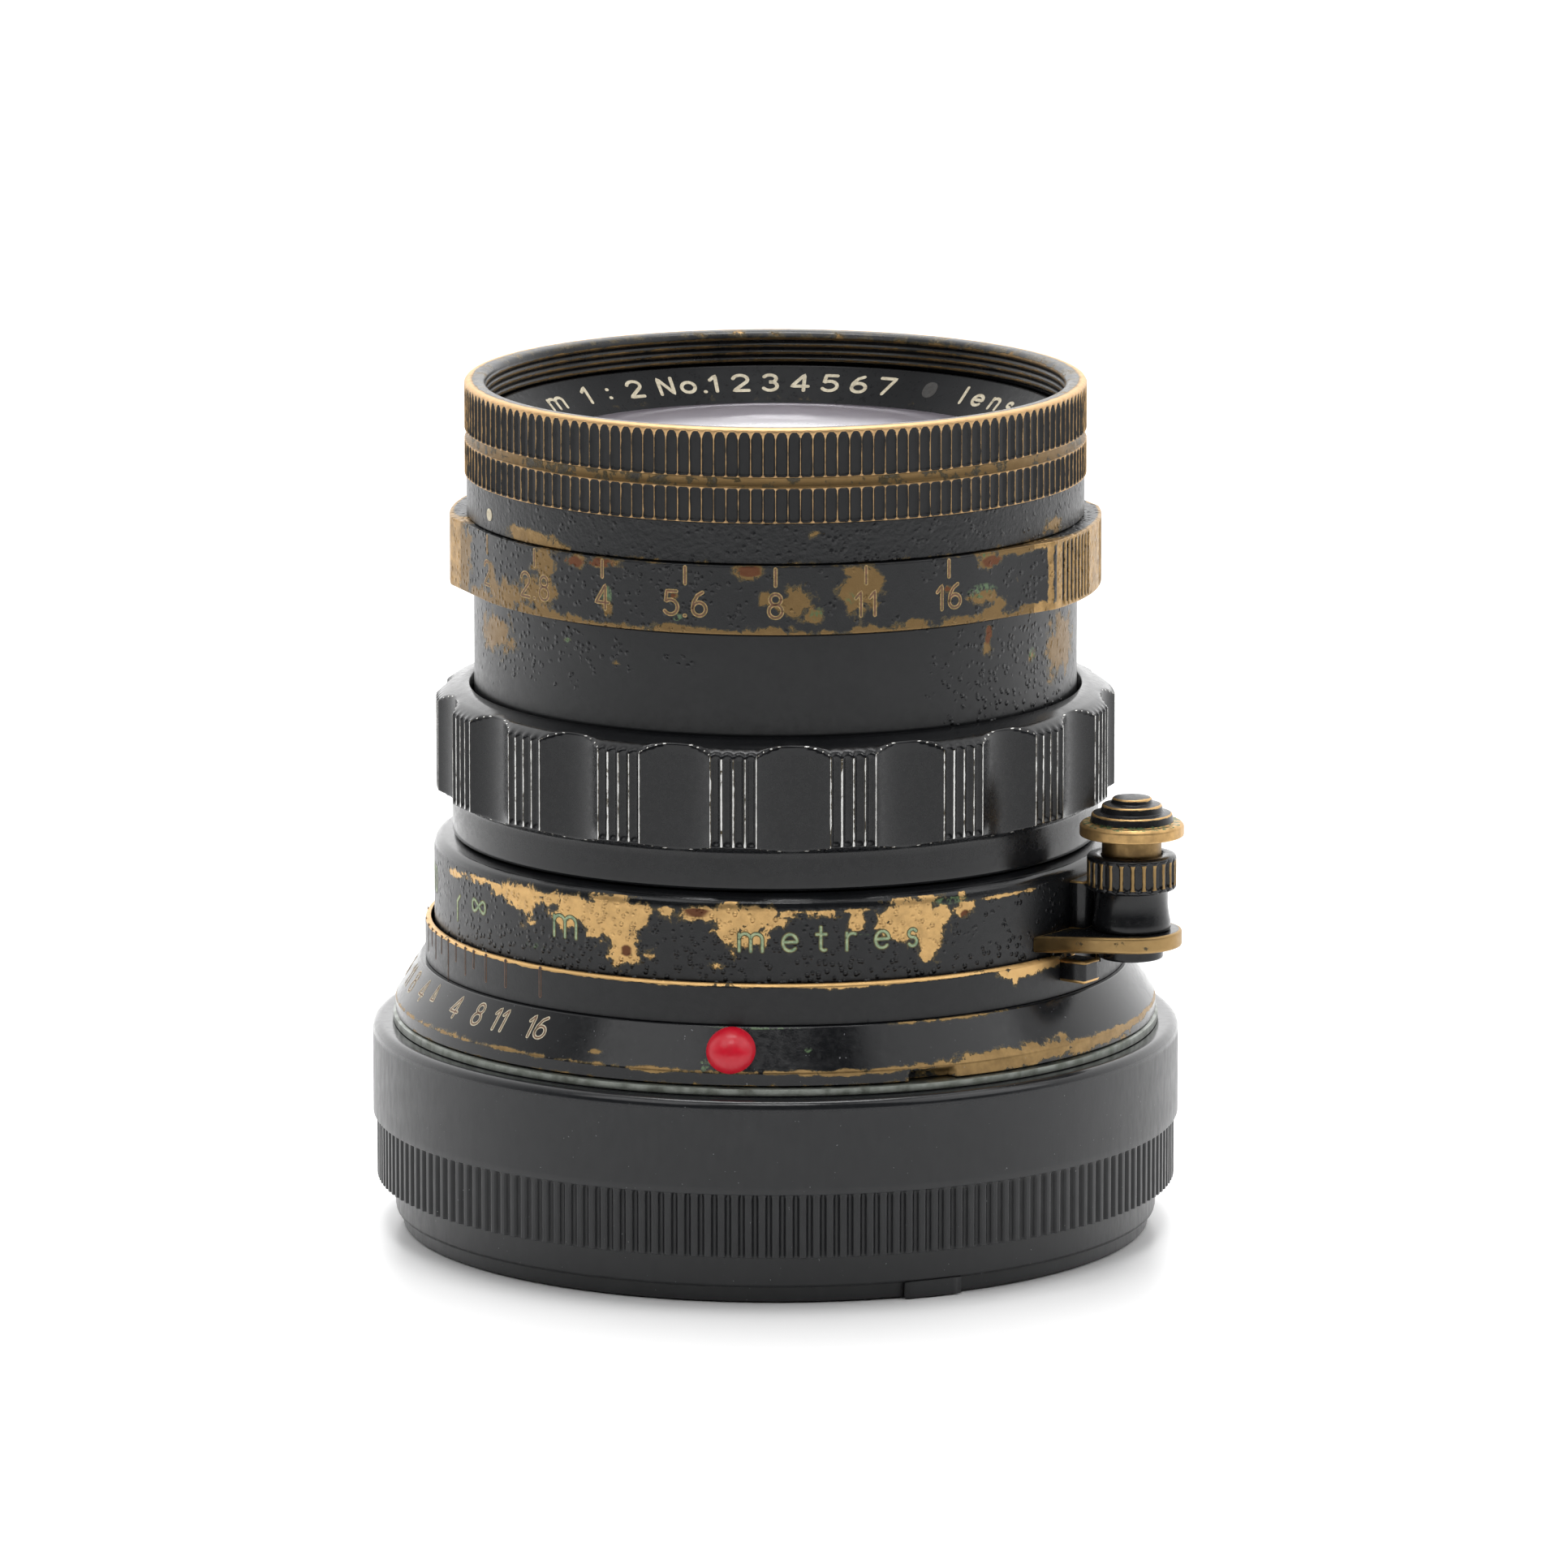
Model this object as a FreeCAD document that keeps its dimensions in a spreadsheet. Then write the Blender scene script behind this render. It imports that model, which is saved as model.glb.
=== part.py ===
import FreeCAD, Part
import math
import os
from types import SimpleNamespace

import Sketcher

# A 50 mm f/2 lens for a rangefinder camera, black paint on brass, standing on its rear cap.
# +Z is the optical axis, towards the front. The origin is the centre of the cap's foot.
# Azimuths are in degrees from -Y towards +X, so azimuth 0 is the side that faces -Y.

Vector = FreeCAD.Vector
UP = Vector(0, 0, 1)
DOC = FreeCAD.newDocument("portrait_lens")

GAP = 0.05

# alias, value in mm or degrees, what it is
SIZES = (
    ("front_height", 58.0, "top of the front rim above the cap's foot"),
    ("front_radius", 21.0, "crests of the front rim's knurl"),
    ("front_groove_radius", 20.75, "plain groove between the two knurled bands"),
    ("upper_knurl_bottom", 54.75, "lower edge of the upper knurled band"),
    ("lower_knurl_top", 54.0, "upper edge of the lower knurled band"),
    ("front_rim_bottom", 51.65, "seam between the front rim and the index barrel"),
    ("filter_radius", 19.5, "filter thread, 39 mm"),
    ("filter_bottom", 55.75, "inner end of the filter thread"),
    ("name_ring_bore", 17.2, "small end of the name ring's cone"),
    ("name_ring_bottom", 53.7, "height of the cone's small end"),
    ("knurl_depth", 0.22, "depth of the front rim's knurl"),
    ("index_barrel_radius", 20.86, "plain band with the aperture index"),
    ("index_barrel_bottom", 48.9, "lower edge of that band"),
    ("neck_radius", 19.8, "neck that the aperture ring turns on"),
    ("neck_top", 51.0, "top of the neck"),
    ("neck_bore", 19.0, "bore of the neck, which holds the iris"),
    ("aperture_ring_radius", 21.2, "plain part of the aperture ring"),
    ("aperture_ring_bore", 19.88, "running fit on the neck"),
    ("aperture_ring_top", 48.85, "upper edge of the aperture ring"),
    ("aperture_ring_bottom", 44.2, "lower edge of the aperture ring"),
    ("aperture_ear_radius", 22.03, "crest of the two finger grips"),
    ("head_radius", 20.4, "barrel below the aperture ring"),
    ("head_bottom", 31.55, "seat of the head on the guide tube"),
    ("iris_shelf", 36.8, "shelf that the iris lies on"),
    ("iris_thickness", 1.2, "thickness of the iris base plate"),
    ("iris_opening", 11.7, "iris radius at full aperture"),
    ("blade_outer", 15.9, "outer edge of an iris blade"),
    ("blade_pivot", 17.0, "radius of the circle of pivots"),
    ("blade_thickness", 0.07, "thickness of an iris blade"),
    ("blade_pitch", 0.11, "height between one blade and the next"),
    ("blade_span", 136.0, "angle that a blade's crescent covers"),
    ("blade_swing", 35.05, "angle that a blade swings to reach f/16"),
    ("aperture_throw", 98.6, "angle of the aperture ring from f/2 to f/16"),
    ("focus_ring_radius", 23.0, "crests of the scalloped focus ring"),
    ("focus_ring_bore", 20.7, "bore around the head"),
    ("focus_ring_top", 37.3, "top of the focus ring"),
    ("focus_rib_bottom", 30.2, "lower end of the scallops"),
    ("scallop_radius", 4.3, "radius of the cutter that makes a scallop"),
    ("scallop_depth", 0.9, "depth of a scallop"),
    ("skirt_radius", 21.9, "plain skirt below the scallops"),
    ("skirt_bottom", 27.05, "seam between the focus ring and the distance ring"),
    ("distance_ring_radius", 23.17, "outer wall of the distance ring"),
    ("distance_ring_wall", 0.57, "thickness of that wall"),
    ("distance_ring_bottom", 16.9, "lower edge, hidden in the base"),
    ("distance_plate", 25.4, "underside of the distance ring's top plate"),
    ("helicoid_radius", 19.4, "outside of the turning helicoid"),
    ("helicoid_bore", 18.05, "bore of the turning helicoid"),
    ("helicoid_bottom", 14.4, "rear end of the turning helicoid"),
    ("guide_tube_radius", 18.0, "outside of the straight-moving tube"),
    ("guide_tube_bore", 16.9, "bore of the straight-moving tube"),
    ("guide_tube_bottom", 7.6, "rear end, which bears on the rangefinder roller"),
    ("key_width", 3.0, "width of the key that stops the head from turning"),
    ("depth_ring_radius", 23.78, "outside of the depth scale ring"),
    ("depth_ring_bore", 23.4, "bore of the depth scale ring"),
    ("depth_ring_top", 21.18, "upper edge of the depth scale ring"),
    ("base_top", 18.4, "top of the base cone"),
    ("base_top_radius", 24.13, "base cone at its top"),
    ("base_radius", 25.85, "base cone at its bottom"),
    ("base_bend", 15.6, "height where the cone meets the plain band"),
    ("base_bottom", 14.75, "underside of the base"),
    ("base_bore", 19.45, "bore that the helicoid runs in"),
    ("base_cavity", 22.3, "inner wall of the space for the distance ring"),
    ("base_tail", 12.0, "rear end of the base's inner tube"),
    ("flange_height", 14.1, "bayonet flange, where the lens meets a camera"),
    ("flange_radius", 26.0, "outside of the bayonet flange"),
    ("bayonet_bottom", 11.0, "rear end of the bayonet"),
    ("bayonet_bore", 20.6, "bore of the bayonet ring"),
    ("bayonet_radius", 21.3, "neck of the bayonet"),
    ("lug_radius", 22.0, "outside of the bayonet lugs"),
    ("lug_top", 12.3, "front face of the bayonet lugs"),
    ("bead_radius", 1.75, "red alignment bead"),
    ("lock_azimuth", 62.0, "azimuth of the infinity lock"),
    ("lock_offset", 27.0, "distance of the lock's post from the axis"),
    ("button_radius", 3.5, "flange of the lock button"),
    ("button_bottom", 29.1, "underside of the lock button"),
    ("button_top", 31.9, "crown of the lock button"),
    ("stem_radius", 2.0, "stem of the lock button"),
    ("collar_radius", 3.0, "knurled collar of the lock's post"),
    ("collar_top", 27.85, "top of the collar"),
    ("collar_bottom", 25.4, "lower edge of the collar"),
    ("arm_bottom", 21.6, "underside of the lock's arm"),
    ("arm_top", 22.7, "top of the lock's arm"),
    ("arm_radius", 3.4, "rounded end of the lock's arm"),
    ("foot_radius", 2.15, "foot of the lock's stem"),
    ("cap_radius", 27.4, "plain wall of the rear cap"),
    ("cap_ridge_radius", 27.15, "crests of the rear cap's ridges"),
    ("cap_top", 14.05, "top face of the rear cap"),
    ("cap_ridge_top", 7.67, "upper end of the ridges"),
    ("cap_ridge_bottom", 3.6, "lower end of the ridges"),
    ("cap_step_radius", 25.9, "step below the ridges"),
    ("cap_foot_radius", 25.4, "foot that the cap stands on"),
    ("cap_floor", 3.0, "inside of the cap's floor"),
)

KNURL_COUNT = 160
KNURL_CREST = 0.3
GROOVE_FLOOR = 0.45
CAP_RIDGE_COUNT = 188
SCALLOP_COUNT = 18
SCALLOP_AZIMUTH = 3.0
SCALLOP_CREST_GROOVES = 4
SCALLOP_CREST_PITCH = 1.97
BLADE_COUNT = 10
LUG_COUNT = 4
APERTURE_SCREW_AZIMUTH = 77.0
EAR_HALF_ANGLE = 33.7
EAR_CREST_HALF_ANGLE = 19.0
EAR_RIB_PITCH = 1.6
BEAD_AZIMUTH = -7.0
BEAD_SEAT = 23.85
NOTCH_AZIMUTH = 24.0
HELICOID_SCREW_CIRCLE = 20.05
HELICOID_SCREW_AZIMUTH = 20.0
HELICOID_SCREW_COUNT = 3
BAYONET_SCREW_CIRCLE = 23.4
BAYONET_SCREW_AZIMUTH = 30.0
BAYONET_SCREW_COUNT = 6
KEY_SCREW_CIRCLE = 20.0
KEY_AZIMUTH = 180.0
KEY_SCREW_OFFSETS = (-4.5, 4.5)
CLICK_AZIMUTH = 180.0
POST_RADIUS = 2.65
ROD_RADIUS = 0.8
COLLAR_RIDGE_COUNT = 24
PIVOT_RADIUS = 0.35
FIRST_PIVOT_AZIMUTH = 9.0
RIB_DEPTH = 0.2
SCREW_SHANK = 0.85
SCREW_HEAD = 1.25
CONCAVE_RIM = 10.6
CONCAVE_CURVE = 15.5
RIM_SOCKET_RADIUS = 20.25
RIM_SOCKET_TOP = 53.1
LOCK_NOTCH = (57.6, 67.0)


class Dim:
    """A size from the sheet, or a sum of them, with the expression that it is bound by."""

    def __init__(self, value, words):
        self.value = value
        self.words = words

    def __add__(self, other):
        return Dim(self.value + plain(other), f"({self.words} + {words(other)})")

    def __sub__(self, other):
        return Dim(self.value - plain(other), f"({self.words} - {words(other)})")

    def __mul__(self, other):
        return Dim(self.value * plain(other), f"({self.words} * {words(other)})")


def plain(size):
    """The number that a size stands for."""
    return size.value if isinstance(size, Dim) else float(size)


def words(size):
    """The expression that a size stands for."""
    return size.words if isinstance(size, Dim) else f"{size:g}"


def make_sheet():
    """The spreadsheet of driving dimensions, and the same sizes as named values."""
    sheet = DOC.addObject("Spreadsheet::Sheet", "Sheet")
    sizes = {}
    for row, (alias, value, note) in enumerate(SIZES, start=1):
        sheet.set(f"A{row}", alias)
        sheet.set(f"B{row}", str(value))
        sheet.set(f"C{row}", note)
        sheet.setAlias(f"B{row}", alias)
        sizes[alias] = Dim(value, f"Sheet.{alias}")
    DOC.recompute()
    return SimpleNamespace(**sizes)


D = make_sheet()
PARTS = []


def keep(piece, label):
    """Name a finished piece and put it on the list of pieces to write."""
    piece.Label = label
    PARTS.append(piece)
    return piece


# ---- drawing ----

def polar(radius, azimuth, height=0.0):
    """The point at a radius, azimuth and height."""
    angle = math.radians(azimuth - 90)
    return Vector(plain(radius) * math.cos(angle), plain(radius) * math.sin(angle), plain(height))


def arc_between(start, end, radius):
    """The short arc from start to end, which turns left about its centre."""
    chord = end - start
    left = Vector(-chord.y, chord.x, 0).normalize()
    rise = math.sqrt(radius * radius - chord.Length ** 2 / 4)
    centre = (start + end) * 0.5 + left * rise
    first = math.atan2(start.y - centre.y, start.x - centre.x)
    last = math.atan2(end.y - centre.y, end.x - centre.x)
    if last < first:
        last += 2 * math.pi
    return Part.ArcOfCircle(Part.Circle(centre, UP, radius), first, last)


def draw_outline(sketch, corners):
    """A closed outline through (radius, height) corners, each bound to the sheet.

    A third value is the radius of the arc that arrives at that corner: positive turns left,
    negative turns right.
    """
    places = [Vector(plain(corner[0]), plain(corner[1]), 0) for corner in corners]
    edges = []
    for index, corner in enumerate(corners):
        start = places[index - 1]
        end = places[index]
        bend = plain(corner[2]) if len(corner) > 2 else 0.0
        if bend > 0:
            edges.append((sketch.addGeometry(arc_between(start, end, bend)), 1, 2))
        elif bend < 0:
            edges.append((sketch.addGeometry(arc_between(end, start, -bend)), 2, 1))
        else:
            edges.append((sketch.addGeometry(Part.LineSegment(start, end)), 1, 2))
    rules = []
    bound = []
    for index, corner in enumerate(corners):
        edge, _, end = edges[index]
        following, start, _ = edges[(index + 1) % len(edges)]
        rules.append(Sketcher.Constraint("Coincident", edge, end, following, start))
        for kind, size, axis in (("DistanceX", corner[0], -2), ("DistanceY", corner[1], -1)):
            if plain(size) == 0:
                rules.append(Sketcher.Constraint("PointOnObject", edge, end, axis))
            else:
                bound.append((len(rules), size))
                rules.append(Sketcher.Constraint(kind, edge, end, plain(size)))
        if len(corner) > 2:
            radius = corner[2] if plain(corner[2]) > 0 else Dim(0, "0") - corner[2]
            bound.append((len(rules), radius))
            rules.append(Sketcher.Constraint("Radius", edge, plain(radius)))
    sketch.addConstraint(rules)
    for number, size in bound:
        if isinstance(size, Dim):
            sketch.setExpression(f"Constraints[{number}]", size.words)


def new_sketch(body, name, plane):
    """A sketch on one of the body's own origin planes."""
    sketch = body.newObject("Sketcher::SketchObject", name)
    for feature in body.Origin.OriginFeatures:
        if feature.Role == plane:
            sketch.AttachmentSupport = [(feature, "")]
    sketch.MapMode = "FlatFace"
    return sketch


def turned(name, corners, angle=360):
    """A body turned about Z from an outline of (radius, height) corners."""
    body = DOC.addObject("PartDesign::Body", name)
    sketch = new_sketch(body, name + "_outline", "XZ_Plane")
    draw_outline(sketch, corners)
    turn = body.newObject("PartDesign::Revolution", name + "_turn")
    turn.Profile = sketch
    turn.ReferenceAxis = (sketch, ["V_Axis"])
    turn.Angle = plain(angle)
    if isinstance(angle, Dim):
        turn.setExpression("Angle", angle.words)
    return body


def ring(name, inner, outer, bottom, top):
    """A plain ring."""
    return turned(name, [(inner, bottom), (outer, bottom), (outer, top), (inner, top)])


def tool(name, shape):
    """A cutter or a blank that is worked out in code."""
    feature = DOC.addObject("Part::Feature", name)
    feature.Shape = shape
    return feature


def cut(name, base, cutter):
    """base with cutter taken away."""
    result = DOC.addObject("Part::Cut", name)
    result.Base = base
    result.Tool = cutter
    return result


def common(name, base, blank):
    """What base and blank share."""
    result = DOC.addObject("Part::Common", name)
    result.Base = base
    result.Tool = blank
    return result


def fuse(name, pieces):
    """Several pieces as one solid."""
    result = DOC.addObject("Part::MultiFuse", name)
    result.Shapes = pieces
    result.Refine = True
    return result


def cylinder(name, radius, bottom, top, centre=Vector(0, 0, 0)):
    """An upright cylinder whose sizes are bound to the sheet."""
    rod = DOC.addObject("Part::Cylinder", name)
    height = top - bottom
    rod.Radius = plain(radius)
    rod.Height = plain(height)
    rod.Placement.Base = Vector(centre.x, centre.y, plain(bottom))
    for prop, size in (("Radius", radius), ("Height", height), ("Placement.Base.z", bottom)):
        if isinstance(size, Dim):
            rod.setExpression(prop, size.words)
    return rod


def radial_rod(radius, azimuth, inner, outer, height):
    """A cylinder that points outwards from the axis."""
    start = polar(inner, azimuth, height)
    return Part.makeCylinder(plain(radius), plain(outer) - plain(inner), start, polar(1, azimuth))


def block(azimuth, inner, outer, width, bottom, top):
    """A box that points outwards from the axis, centred on an azimuth."""
    box = Part.makeBox(width, plain(outer) - plain(inner), plain(top) - plain(bottom))
    box.translate(Vector(-width / 2, -plain(outer), plain(bottom)))
    box.rotate(Vector(), UP, azimuth)
    return box


def sector(first, last, inner, outer, bottom, top):
    """A piece of a ring between two azimuths."""
    inner, outer, bottom, top = (plain(size) for size in (inner, outer, bottom, top))
    face = Part.Face(Part.makePolygon([
        Vector(0, -inner, bottom), Vector(0, -outer, bottom),
        Vector(0, -outer, top), Vector(0, -inner, top), Vector(0, -inner, bottom),
    ]))
    solid = face.revolve(Vector(), UP, last - first)
    solid.rotate(Vector(), UP, first)
    return solid


def around(shape, count, start=0.0):
    """Copies of a shape, evenly spaced about the axis."""
    copies = []
    for number in range(count):
        copy = shape.copy()
        copy.rotate(Vector(), UP, start + 360 * number / count)
        copies.append(copy)
    return copies


def grooved_disc(radius, depth, count, share, bottom, top):
    """A disc with straight grooves round its edge; share is how much of the pitch is crest."""
    pitch = 360 / count
    points = []
    for number in range(count):
        middle = number * pitch
        crest = share * pitch / 2
        floor = pitch / 2 - (pitch / 2 - crest) * GROOVE_FLOOR
        points.append(polar(radius, middle - crest, bottom))
        points.append(polar(radius, middle + crest, bottom))
        points.append(polar(radius - depth, middle + floor, bottom))
        points.append(polar(radius - depth, middle + pitch - floor, bottom))
    points.append(points[0])
    return Part.Face(Part.makePolygon(points)).extrude(UP * (top - bottom))


# ---- optics ----

def lens(name, front, back, rim, edges, curves):
    """A glass element between two polished surfaces.

    front and back are the heights of the two vertices, edges the heights where the surfaces
    meet the rim, and curves their radii: 0 is flat, positive has its centre below.
    """
    front_edge = (rim, edges[0], -curves[0]) if curves[0] else (rim, edges[0])
    back_vertex = (0, back, curves[1]) if curves[1] else (0, back)
    return keep(turned(name, [(0, front), front_edge, (rim, edges[1]), back_vertex]), name)


def sag(curve, rim):
    """How far a polished surface falls from its vertex to its rim; 0 is flat."""
    if curve == 0:
        return 0.0
    return math.copysign(abs(curve) - math.sqrt(curve * curve - rim * rim), curve)


def simple_lens(name, front, back, rim, curves):
    """A glass element whose surfaces both run out to the rim."""
    edges = (front - sag(curves[0], rim), back - sag(curves[1], rim))
    return lens(name, front, back, rim, edges, curves)


def front_element_outline(rim):
    """A shallow dome that stands through the name ring's lip, above the rim that the lip holds."""
    vertex = 54.9
    front_curve = 100
    clear_rim = 16.5
    shoulder = 51.6
    back = 50.6
    back_curve = 300
    return [
        (0, vertex),
        (clear_rim, vertex - sag(front_curve, clear_rim), -front_curve),
        (clear_rim, shoulder),
        (rim, shoulder),
        (rim, back + sag(back_curve, rim)),
        (0, back, -back_curve),
    ]


def make_front_optics():
    front_rim = 16.95
    second_rim = 13.9
    third_rim = 12.8
    keep(turned("front_element", front_element_outline(front_rim)), "front_element")
    simple_lens("second_element", 50.2, 46.0, second_rim, (26, 70))
    front = 45.8
    front_curve = 70
    back = 44.3
    bottom = back - sag(CONCAVE_CURVE, CONCAVE_RIM)
    keep(turned("third_element", [
        (0, front),
        (third_rim, front - sag(front_curve, third_rim), -front_curve),
        (third_rim, bottom),
        (CONCAVE_RIM, bottom),
        (0, back, CONCAVE_CURVE),
    ]), "third_element")
    keep(ring("front_element_spacer", third_rim + 0.1, second_rim, 46.85, 48.2), "front_element_spacer")
    outside = 17.8
    stop_bore = 11.2
    tail = D.iris_shelf + 3.15
    keep(turned("front_cell", [
        (stop_bore, tail),
        (outside, tail),
        (outside, D.neck_top),
        (D.neck_radius, D.neck_top),
        (D.neck_radius, D.neck_top + 1.2),
        (front_rim + GAP, D.neck_top + 1.2),
        (front_rim + GAP, D.neck_top - 0.9),
        (second_rim + GAP, D.neck_top - 0.9),
        (second_rim + GAP, 44.55),
        (third_rim + GAP, 44.55),
        (third_rim + GAP, tail + 0.13),
        (stop_bore, tail + 0.13),
    ]), "front_cell")


def make_rear_optics():
    doublet_rim = 11.6
    joint = 31.4
    front = 32.6
    front_curve = 17
    front_edge = front + sag(front_curve, CONCAVE_RIM)
    keep(turned("fourth_element", [
        (0, front),
        (CONCAVE_RIM, front_edge, front_curve),
        (doublet_rim, front_edge),
        (doublet_rim, joint),
        (0, joint),
    ]), "fourth_element")
    simple_lens("fifth_element", joint, 26.9, doublet_rim, (0, -24))
    rear_rim = 12.2
    simple_lens("sixth_element", 26.6, 22.4, rear_rim, (60, -40))
    simple_lens("seventh_element", 22.0, 18.6, rear_rim, (45, -150))
    keep(ring("rear_element_spacer", rear_rim - 1.0, rear_rim, 20.6, 23.95), "rear_element_spacer")
    keep(ring("rear_retaining_ring", rear_rim - 1.6, rear_rim, 17.7, 18.9), "rear_retaining_ring")
    tail = 17.6
    tail_radius = 13.6
    shoulder = 28.0
    body_radius = 16.8
    flange_radius = 18.1
    flange_bottom = 34.3
    flange_top = 35.45
    top = 36.5
    keep(turned("rear_cell", [
        (rear_rim + GAP, tail),
        (tail_radius, tail),
        (tail_radius, shoulder),
        (body_radius, shoulder),
        (body_radius, flange_bottom),
        (flange_radius, flange_bottom),
        (flange_radius, flange_top),
        (body_radius - 0.1, flange_top),
        (body_radius - 0.1, top),
        (doublet_rim + GAP, top),
        (doublet_rim + GAP, 29.4),
        (doublet_rim - 0.8, 29.4),
        (doublet_rim - 0.8, 25.7),
        (rear_rim + GAP, 25.7),
    ]), "rear_cell")


# ---- front of the head ----

def make_front_rim():
    """The knurled rim with the filter thread."""
    rim = D.front_radius
    blank = turned("front_rim_blank", [
        (D.filter_radius, D.filter_bottom),
        (D.filter_radius, D.front_height - 0.4),
        (D.filter_radius + 0.35, D.front_height),
        (rim - 0.3, D.front_height),
        (rim, D.front_height - 0.2),
        (rim, D.upper_knurl_bottom),
        (D.front_groove_radius, D.upper_knurl_bottom),
        (D.front_groove_radius, D.lower_knurl_top),
        (rim, D.lower_knurl_top),
        (rim, D.front_rim_bottom),
        (RIM_SOCKET_RADIUS, D.front_rim_bottom),
        (RIM_SOCKET_RADIUS, RIM_SOCKET_TOP),
        (D.filter_radius + 0.25, RIM_SOCKET_TOP),
        (D.filter_radius + 0.25, D.filter_bottom),
    ])
    bottom = plain(D.front_rim_bottom)
    top = plain(D.front_height)
    plain_top = top - 0.25
    crest_radius = plain(rim) + 0.001
    knurl = grooved_disc(crest_radius, plain(D.knurl_depth), KNURL_COUNT, KNURL_CREST, bottom, plain_top)
    crown = Part.makeCylinder(plain(rim), top - plain_top, Vector(0, 0, plain_top))
    keep(common("front_rim", blank, tool("front_rim_knurl", knurl.fuse(crown))), "front_rim")


def make_front_barrel():
    blank = turned("front_barrel_blank", [
        (D.neck_radius + GAP, D.index_barrel_bottom),
        (D.index_barrel_radius, D.index_barrel_bottom),
        (D.index_barrel_radius, D.front_rim_bottom),
        (RIM_SOCKET_RADIUS - GAP, D.front_rim_bottom),
        (RIM_SOCKET_RADIUS - GAP, RIM_SOCKET_TOP - 0.1),
        (D.neck_radius + GAP, RIM_SOCKET_TOP - 0.1),
    ])
    pocket = Part.makeCylinder(0.42, 2.6, click_place(D.index_barrel_bottom - 0.1))
    keep(cut("front_barrel", blank, tool("click_pocket", pocket)), "front_barrel")


def make_name_ring():
    bore = D.name_ring_bore
    bottom = D.name_ring_bottom
    lip_bottom = bottom - 1.95
    seat = D.neck_top + 1.25
    keep(turned("name_ring", [
        (bore - 0.6, lip_bottom),
        (bore - 0.25, lip_bottom),
        (bore - 0.25, seat),
        (bore + 0.7, seat),
        (D.filter_radius - GAP, seat + 1.05),
        (D.filter_radius - GAP, bottom + 2.0),
        (bore + 2.0, bottom + 2.0),
        (bore, bottom),
        (bore - 0.6, bottom - 0.6),
    ]), "name_ring")


def make_head_barrel():
    """The barrel of the head, with the slot that lets the aperture screw travel."""
    bore = 18.2
    shelf_bore = 16.8
    shelf_bottom = D.iris_shelf - 1.3
    blank = turned("head_barrel_blank", [
        (bore, D.head_bottom),
        (D.head_radius, D.head_bottom),
        (D.head_radius, D.aperture_ring_bottom - 0.1),
        (D.neck_radius, D.aperture_ring_bottom - 0.1),
        (D.neck_radius, D.neck_top),
        (D.neck_bore, D.neck_top),
        (D.neck_bore, D.iris_shelf),
        (shelf_bore, D.iris_shelf),
        (shelf_bore, shelf_bottom),
        (bore, shelf_bottom),
    ])
    spare = 4.0
    last = APERTURE_SCREW_AZIMUTH + spare
    first = APERTURE_SCREW_AZIMUTH - plain(D.aperture_throw) - spare
    inner = plain(D.neck_bore) - 0.5
    outer = plain(D.neck_radius) + 0.5
    slot = sector(first, last, inner, outer, screw_height() - 1.0, screw_height() + 1.0)
    keep(cut("head_barrel", blank, tool("aperture_slot", slot)), "head_barrel")


# ---- iris and aperture ring ----

def blade_level(number):
    """The height of the underside of an iris blade."""
    return D.iris_shelf + D.iris_thickness + 0.06 + D.blade_pitch * number


def make_iris_base():
    bottom = D.iris_shelf
    top = D.iris_shelf + D.iris_thickness
    plate = ring("iris_base_blank", D.iris_opening + 0.2, D.neck_bore - GAP, bottom, top)
    hole = Part.makeCylinder(PIVOT_RADIUS + GAP, 2.0, polar(D.blade_pivot, 0, bottom - 0.4))
    holes = Part.makeCompound(around(hole, BLADE_COUNT, blade_start(0)))
    keep(cut("iris_base", plate, tool("iris_pivot_holes", holes)), "iris_base")


def blade_start(number):
    """The azimuth of a blade's pivot."""
    return FIRST_PIVOT_AZIMUTH + 360 / BLADE_COUNT * number


def make_iris_blade(number):
    """One blade: a crescent that trails clockwise from its pivot, and the pivot's stud."""
    name = f"iris_blade_{number + 1:02d}"
    level = blade_level(number)
    top = level + D.blade_thickness
    crescent = turned(name + "_crescent", [
        (D.iris_opening, level), (D.blade_outer, level), (D.blade_outer, top), (D.iris_opening, top),
    ], D.blade_span)
    heel = 6.0
    turn_to_start = blade_start(number) - 90 + heel - plain(D.blade_span)
    crescent.Placement = FreeCAD.Placement(Vector(), FreeCAD.Rotation(UP, turn_to_start))
    pivot = polar(D.blade_pivot, blade_start(number))
    boss = cylinder(name + "_boss", 1.3, level, top, pivot)
    stud = cylinder(name + "_stud", PIVOT_RADIUS, D.iris_shelf + 0.3, top, pivot)
    keep(fuse(name, [crescent, boss, stud]), name)


def drive_slot(low):
    """The curved slot that one blade's tip follows as the rotor turns, for a pivot at azimuth 0."""
    tip_radius = 13.8
    tip_azimuth = -124.0
    half = 0.45
    path = []
    for share in (0.0, 0.5, 1.0):
        tip = polar(tip_radius, tip_azimuth)
        pivot = polar(D.blade_pivot, 0)
        swing = FreeCAD.Rotation(UP, -plain(D.blade_swing) * share)
        back = FreeCAD.Rotation(UP, plain(D.aperture_throw) * share)
        path.append(back.multVec(swing.multVec(tip - pivot) + pivot))
    circle = Part.Arc(*path).toShape().Curve
    first, last = path[0], path[2]
    across = (first - circle.Center).normalize() * half
    profile = Part.Face(Part.makePolygon([
        first - across, first + across, first + across + UP * 2, first - across + UP * 2,
        first - across,
    ]))
    sweep = math.degrees((first - circle.Center).getAngle(last - circle.Center))
    if (first - circle.Center).cross(last - circle.Center).z < 0:
        sweep = -sweep
    slot = profile.revolve(circle.Center, UP, sweep)
    ends = [Part.makeCylinder(half, 2, end) for end in (first, last)]
    slot = slot.multiFuse(ends)
    slot.translate(Vector(0, 0, low))
    return slot


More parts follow.
